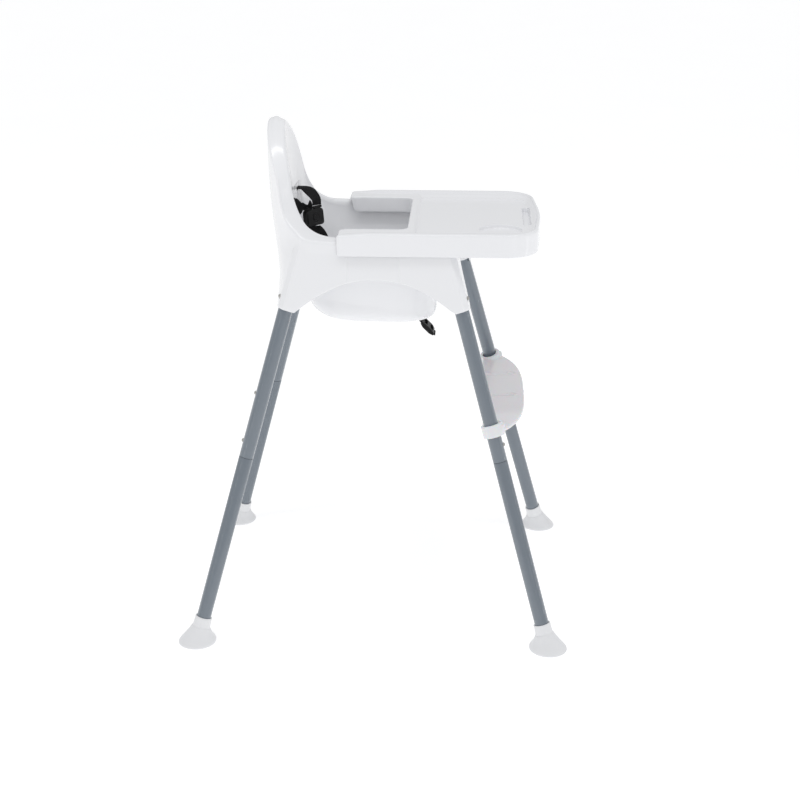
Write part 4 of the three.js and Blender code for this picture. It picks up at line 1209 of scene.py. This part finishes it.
def rest_outline():
    """The footrest's plan: straight behind, and bowed forward in front."""
    half = leg_axis(REST_TOP_Z)[0] + 2
    rear, front = REST_REAR_Y, REST_FRONT_Y
    t = np.linspace(0, 1, 46)[:, None]
    controls = (vec(0, front + 1), vec(105, front - 1), vec(165, front + 8), vec(half, rear - REST_SIDE))
    curve = bezier(t, *controls)
    side = np.array([vec(half, rear - REST_SIDE * (1 - i / 8)) for i in range(1, 8)])
    back = np.array([vec(half * (1 - i / 40), rear) for i in range(41)])
    points = np.concatenate([curve[1:], side, back[:-1]])
    points = np.concatenate([points, [vec(0, rear)], points[::-1] * (-1, 1), [vec(0, front)]])
    way = np.roll(points, -1, 0) - np.roll(points, 1, 0)
    way /= np.linalg.norm(way, axis=1, keepdims=True)
    return points, np.stack([-way[:, 1], way[:, 0]], 1)


def rest_height(xy, grow):
    """A level top with two raised lines across it, each ending in a small hook at the front."""
    z = np.full(len(xy), float(REST_TOP_Z))
    if grow:
        return z
    x, y = xy[:, 0], xy[:, 1]
    for at in REST_RIBS:
        line = np.hypot(x - at, np.maximum(0, np.maximum(y - RIB_REAR_Y, RIB_FRONT_Y - y)))
        hook = np.abs(np.hypot(x - at - HOOK_R, y - HOOK_Y) - HOOK_R)
        hook = np.where((y < RIB_FRONT_Y) | (x > at + 9), hook, 9)
        z = z + RIB_HEIGHT * (1 - smoothed(np.minimum(line, hook), 0.2, 1.8))
    return z


def rest_features():
    """Points along the raised lines and their hooks."""
    ys = np.linspace(RIB_FRONT_Y - 1, RIB_REAR_Y, 40)
    features = []
    for at in REST_RIBS:
        features += [np.stack([np.full(40, at + d), ys], 1) for d in (-2, -1.4, -0.8, 0, 0.8, 1.4, 2)]
        features += [arc(at + HOOK_R, HOOK_Y, r, -200, 60, 40)[0] for r in (5, 5.6, 6.3, 7, 7.7, 8.4, 9)]
    return features


def collar_mesh(leg, profile):
    """A solid collar round a front leg, or its hole, from (radius, height, flare) corners, bottom to top. The
    flare widens it towards the plate. It is long towards the middle, so that it can move up the legs."""
    side = LEGS[leg][0]
    points = []
    for radius, z, flare in profile:
        for a in (np.arange(COLLAR_SIDES) + 0.5) * 2 * math.pi / COLLAR_SIDES:
            wide = radius + flare * max(0, math.cos(a) * side + math.sin(a)) / math.sqrt(2)
            shift = REST_TRAVEL * LEAN_X + 1 if math.cos(a) * side > 0 else 0
            points.append((wide * math.cos(a) + side * shift, wide * math.sin(a), z))
    return cutter_of(placed(points, leg_frame(leg)), capped_faces(len(profile), COLLAR_SIDES))


def build_footrest():
    points, normals = rest_outline()
    edge_r = np.full(len(points), REST_EDGE_R)
    low = np.full(len(points), float(REST_LOW_Z))
    points, faces = moulding(points, normals, edge_r, low, rest_height, rest_features(), 4.0)
    rest = make_piece("footrest_moulding", points, faces, MILKY, "footrest", ["footrest"])
    weld(rest.data)
    bore = TUBE_R + 0.6
    outer = bore + COLLAR_WALL
    bottom, plate, top = along(COLLAR_LOW_Z), along(REST_TOP_Z), along(COLLAR_HIGH_Z)
    collar = [
        (outer - 1.8, bottom, 2), (outer - 0.5, bottom + 0.5, 3), (outer, bottom + 1.8, 4),
        (outer, plate - 6, 6), (outer, plate + 0.5, 8), (outer, plate + 2, 4.6), (outer, plate + 3.6, 3),
        (outer - 0.1, top - 1.6, 2), (outer - 0.7, top - 0.5, 1.5), (outer - 2, top, 1),
    ]
    hole = [(bore, along(COLLAR_LOW_Z - 21), 0), (bore, along(COLLAR_HIGH_Z + 18), 0)]
    legs = ("front_left", "front_right")
    carve(rest, [collar_mesh(leg, collar) for leg in legs], "UNION")
    carve(rest, [collar_mesh(leg, hole) for leg in legs])


# ---- harness ----
BUCKLE = {"y": 119, "z": 720, "width": 44, "height": 30, "thick": 11, "turn": -0.7, "tilt": 0.12}
BUCKLE_PLACE = np.array(
    Matrix.Translation((0, BUCKLE["y"], BUCKLE["z"])) @ Matrix.Rotation(BUCKLE["turn"], 4, "Z")
    @ Matrix.Rotation(-BUCKLE["tilt"], 4, "X")
)
BUCKLE_ACROSS = (math.cos(BUCKLE["turn"]), math.sin(BUCKLE["turn"]), 0)
TONGUE_X = 11.3
TONGUE_TOP = BUCKLE["height"] / 2 + 5
ANCHOR_Y = 173.5
SLIDER_PLACE = (0, -89, 517.5)


def from_buckle(x, z):
    return tuple(placed([(x, 0, z)], BUCKLE_PLACE)[0])


def webbing_section(width):
    """The webbing's section: thin, flat, and thinner towards its two edges."""
    half, thick = width / 2, WEBBING_THICK / 2
    side = [-half + 0.25, -half + 0.9, *np.linspace(-half + 2.5, half - 2.5, 9), half - 0.9, half - 0.25]
    shape = [min(1, 0.45 + 0.55 * min(1, (half - abs(u)) / 1.4)) for u in side]
    section = [(u, thick * s) for u, s in zip(side, shape)] + [(half, 0)]
    return section + [(u, -thick * s) for u, s in zip(side[::-1], shape[::-1])] + [(-half, 0)]


def ribbon(name, stations, width, steps, node):
    """Webbing along stations of (place, the way its width runs), with a UV map in mm."""
    places = [s[0] for s in stations]
    chords = np.linalg.norm(np.diff(np.array(places, float), axis=0), axis=1) ** 0.5
    at = np.concatenate([[0], np.cumsum(chords)])
    t = np.linspace(0, at[-1], steps)
    centre = spline(places, t, at)
    across = spline([s[1] for s in stations], t, at)
    tangent = np.gradient(centre, axis=0)
    tangent /= np.linalg.norm(tangent, axis=1, keepdims=True)
    across -= tangent * (across * tangent).sum(1, keepdims=True)
    across /= np.linalg.norm(across, axis=1, keepdims=True)
    face = np.cross(tangent, across)
    section = webbing_section(width)
    count = len(section)
    points = [centre[:, None] + across[:, None] * a + face[:, None] * b for a, b in section]
    points = np.concatenate(points, 1).reshape(-1, 3)
    faces = [corners[::-1] for corners in capped_faces(steps, count)]
    strap = make_piece(name, points, faces, WEBBING, "chair", [node])
    length = np.concatenate([[0], np.cumsum(np.linalg.norm(np.diff(centre, axis=0), axis=1))])
    uv = strap.data.uv_layers.new(name="Strap")
    for polygon in strap.data.polygons:
        for loop in polygon.loop_indices:
            index = strap.data.loops[loop].vertex_index
            uv.data[loop].uv = (section[index % count][0], length[index // count])
    strap.data.set_sharp_from_angle(angle=math.radians(60))


def build_waist_strap(name, side, path, tongue_heights):
    """A waist strap, from behind its slot over the path's stations into its tongue."""
    slot = [((side * BACK_SLOT_X, y, BACK_SLOT_Z + 1), (1, 0, 0)) for y in (170, 155)]
    tongue = [(from_buckle(side * TONGUE_X, TONGUE_TOP + z), BUCKLE_ACROSS) for z in tongue_heights]
    ribbon(f"strap_waist_{name}", slot + path + tongue, WAIST_WEBBING, 90, f"waist_strap_{name}")


def build_straps():
    left = [((43, 140, 765), (1, -0.2, 0.1)), ((32, 128, 761), (0.8, -0.5, 0.3))]
    right = [
        ((-45, 149, 757), (0.75, -0.3, 0.5)), ((-34, 144.5, 746.5), (0.25, -0.5, 0.83)),
        ((-21, 137, 739.5), (0.4, -0.6, 0.68)),
    ]
    build_waist_strap("left", 1, left, (9, 3, 0.6))
    build_waist_strap("right", -1, right, (3, 0.6))
    flat = (1, 0, 0)
    low = -BUCKLE["height"] / 2
    stations = [
        (from_buckle(0, low - 0.4), BUCKLE_ACROSS), (from_buckle(0, low - 7), BUCKLE_ACROSS),
        ((0, 112, 691), (0.6, -0.8, 0)), ((0, 106, 680), (0.5, -0.87, 0)), ((0, 100, 658), (0.65, -0.75, 0)),
        ((0, 95, 630), (0.9, -0.4, 0)), ((0, 88, 602), flat), ((0, 70, 574), flat), ((0, 34, 557.5), flat),
        ((0, -20, 556.2), flat), ((0, -43, 556.2), flat), ((0, -50.5, 554.9), flat), ((0, -55.5, 550), flat),
        ((0, -60.5, 543.5), flat), ((0, -69, 536), flat), ((0, -79, 527.3), flat), ((0, -91, 515.5), flat),
        ((0, -103, 503.7), flat),
    ]
    ribbon("strap_crotch", stations, CROTCH_WEBBING, 260, "crotch_strap")


def puck(width, height, radius, section, x=0, z=0):
    """A plate of the buckle: rounded outlines about (x, z), inset and deep as section says, back to front."""
    rings = []
    for inset, depth in section:
        shape = rectangle(x, z, width - 2 * inset, height - 2 * inset, max(0.3, radius - inset), 6)
        rings.append([(u, depth, v) for u, v in shape])
    return np.array(rings).reshape(-1, 3), capped_faces(len(rings), len(rings[0]))


def case_section(half, edge, crown):
    """(inset, depth) corners of the buckle's case, half deep each way, with a crowned front."""
    turns = np.radians([0, 30, 60, 90])
    back = [(edge * (1 - math.sin(a)), half - edge * (1 - math.cos(a))) for a in turns]
    front = [(edge * (1 - math.cos(a)), edge * (1 - math.sin(a)) - half) for a in turns]
    crowned = [(edge + 2, -half - crown * 0.5), (edge + 4, -half - crown * 0.85), (edge + 5.3, -half - crown)]
    return [(edge + 2.5, half), *back, *front, *crowned]


def plate_section(thick, edges):
    """(inset, depth) corners of a plate, thick deep, with each edge rounded as edges says, from its face."""
    half = thick / 2
    back = [(inset, half - drop) for inset, drop in edges]
    return back + [(inset, -depth) for inset, depth in back[::-1]]


def black_piece(name, points, faces, node, body="chair"):
    made = make_piece(name, points, faces, BLACK, body, [node])
    settle(made, 45, FINE_WELD)
    return made


def buckle_cutter(shape):
    points, faces = shape
    return cutter_of(placed(points, BUCKLE_PLACE), faces)


def build_buckle_case():
    half, top = BUCKLE["thick"] / 2, BUCKLE["height"] / 2
    points, faces = puck(BUCKLE["width"], BUCKLE["height"], 7, case_section(half, 2.2, 0.5))
    case = black_piece("buckle_case", placed(points, BUCKLE_PLACE), faces, "buckle_housing")
    well = puck(13, 13, 6, [(0.2, 2), (0, 1.6), (0, -half - 3)])
    mouths = [puck(17, 16, 1, [(0, 2.2), (0, -2.2)], side * TONGUE_X, top - 2) for side in (1, -1)]
    grooves = [puck(1.6, 17, 0.7, [(0, -half - 3), (0, -half + 0.6)], side * 19, -1) for side in (1, -1)]
    carve(case, [buckle_cutter(shape) for shape in (well, *mouths, *grooves)], sharp_angle=35)
    section = [(3, -3.2), (0.3, -3.2), (0, -3.5), (0, -half - 0.5), (0.35, -half - 1.1), (1.1, -half - 1.5)]
    section += [(3.4, -half - 1.35), (4.6, -half - 1.3)]
    points, faces = puck(12, 12, 5.5, section)
    button = placed(points, BUCKLE_PLACE)
    black_piece("buckle_button", button, faces, "buckle_release_button", "buckle_button")


def build_tongue(name, side):
    """A buckle tongue, with a wider bar above the case for the strap."""
    section = plate_section(3.2, [(1.4, 0), (0.5, 0), (0, 0.4)])
    points, faces = puck(16, 13, 2, section, side * TONGUE_X, TONGUE_TOP - 6.5)
    plate = black_piece(
        f"buckle_tongue_plate_{name}", placed(points, BUCKLE_PLACE), faces, f"buckle_tongue_{name}"
    )
    bar = puck(21.6, 4.6, 2, section, side * TONGUE_X, TONGUE_TOP - 2.3)
    carve(plate, [buckle_cutter(bar)], "UNION")


def build_anchor_bar(name, side):
    """The bar behind the back that holds a waist strap."""
    section = plate_section(4, [(1.2, 0), (0.4, 0), (0, 0.5)])
    points, faces = puck(34, 9, 2, section, side * BACK_SLOT_X, BACK_SLOT_Z + 1)
    black_piece(f"anchor_bar_{name}", points + (0, ANCHOR_Y, 0), faces, f"strap_anchor_{name}")


def build_slider():
    """The slider under the seat: a lens-shaped bar round the webbing, tilted with it."""
    ends, bulge, flat = (-16.5, 16.5), 4.2, 1.6
    corners = [(ends[0], -flat), (-9, -bulge), (9, -bulge), (ends[1], -flat)]
    corners += [(ends[1], flat), (9, bulge), (-9, bulge), (ends[0], flat)]
    outline = rounded(corners, 2.4)
    slices = ((-20, 0.9), (-19.6, 0.97), (-18.6, 1), (18.6, 1), (19.6, 0.97), (20, 0.9))
    points = np.array([(x, u * size, v * size) for x, size in slices for u, v in outline])
    hung = np.array(Matrix.Translation(SLIDER_PLACE) @ Matrix.Rotation(math.pi / 4, 4, "X"))
    faces = capped_faces(len(slices), len(outline))
    slider = make_piece("crotch_slider", placed(points, hung), faces, BLACK, "chair", ["crotch_anchor"])
    weld(slider.data, FINE_WELD)
    inside = CROTCH_WEBBING + 0.8
    way = block(0, 0, 0, inside, 60, WEBBING_THICK + 0.8)
    windows = [block(0, y, 0, inside - 4, 7, 20) for y in (7.5, -7.5)]
    carve(slider, [cutter_of(placed(p, hung), f) for p, f in (way, *windows)], sharp_angle=35)


stage_scene()
build_shell()
for leg in LEGS:
    build_socket(leg)
build_tray()
build_legs()
for leg, (_, toward) in LEGS.items():
    build_foot(leg)
    build_clip(leg, "socket", SOCKET_BUTTON_Z)
    build_clip(leg, "joint", LOW_BUTTON_Z)
    if toward > 0:
        build_clip(leg, "height", HIGH_BUTTON_Z)
build_footrest()
build_straps()
build_buckle_case()
for name, side in (("left", 1), ("right", -1)):
    build_tongue(name, side)
    build_anchor_bar(name, side)
build_slider()
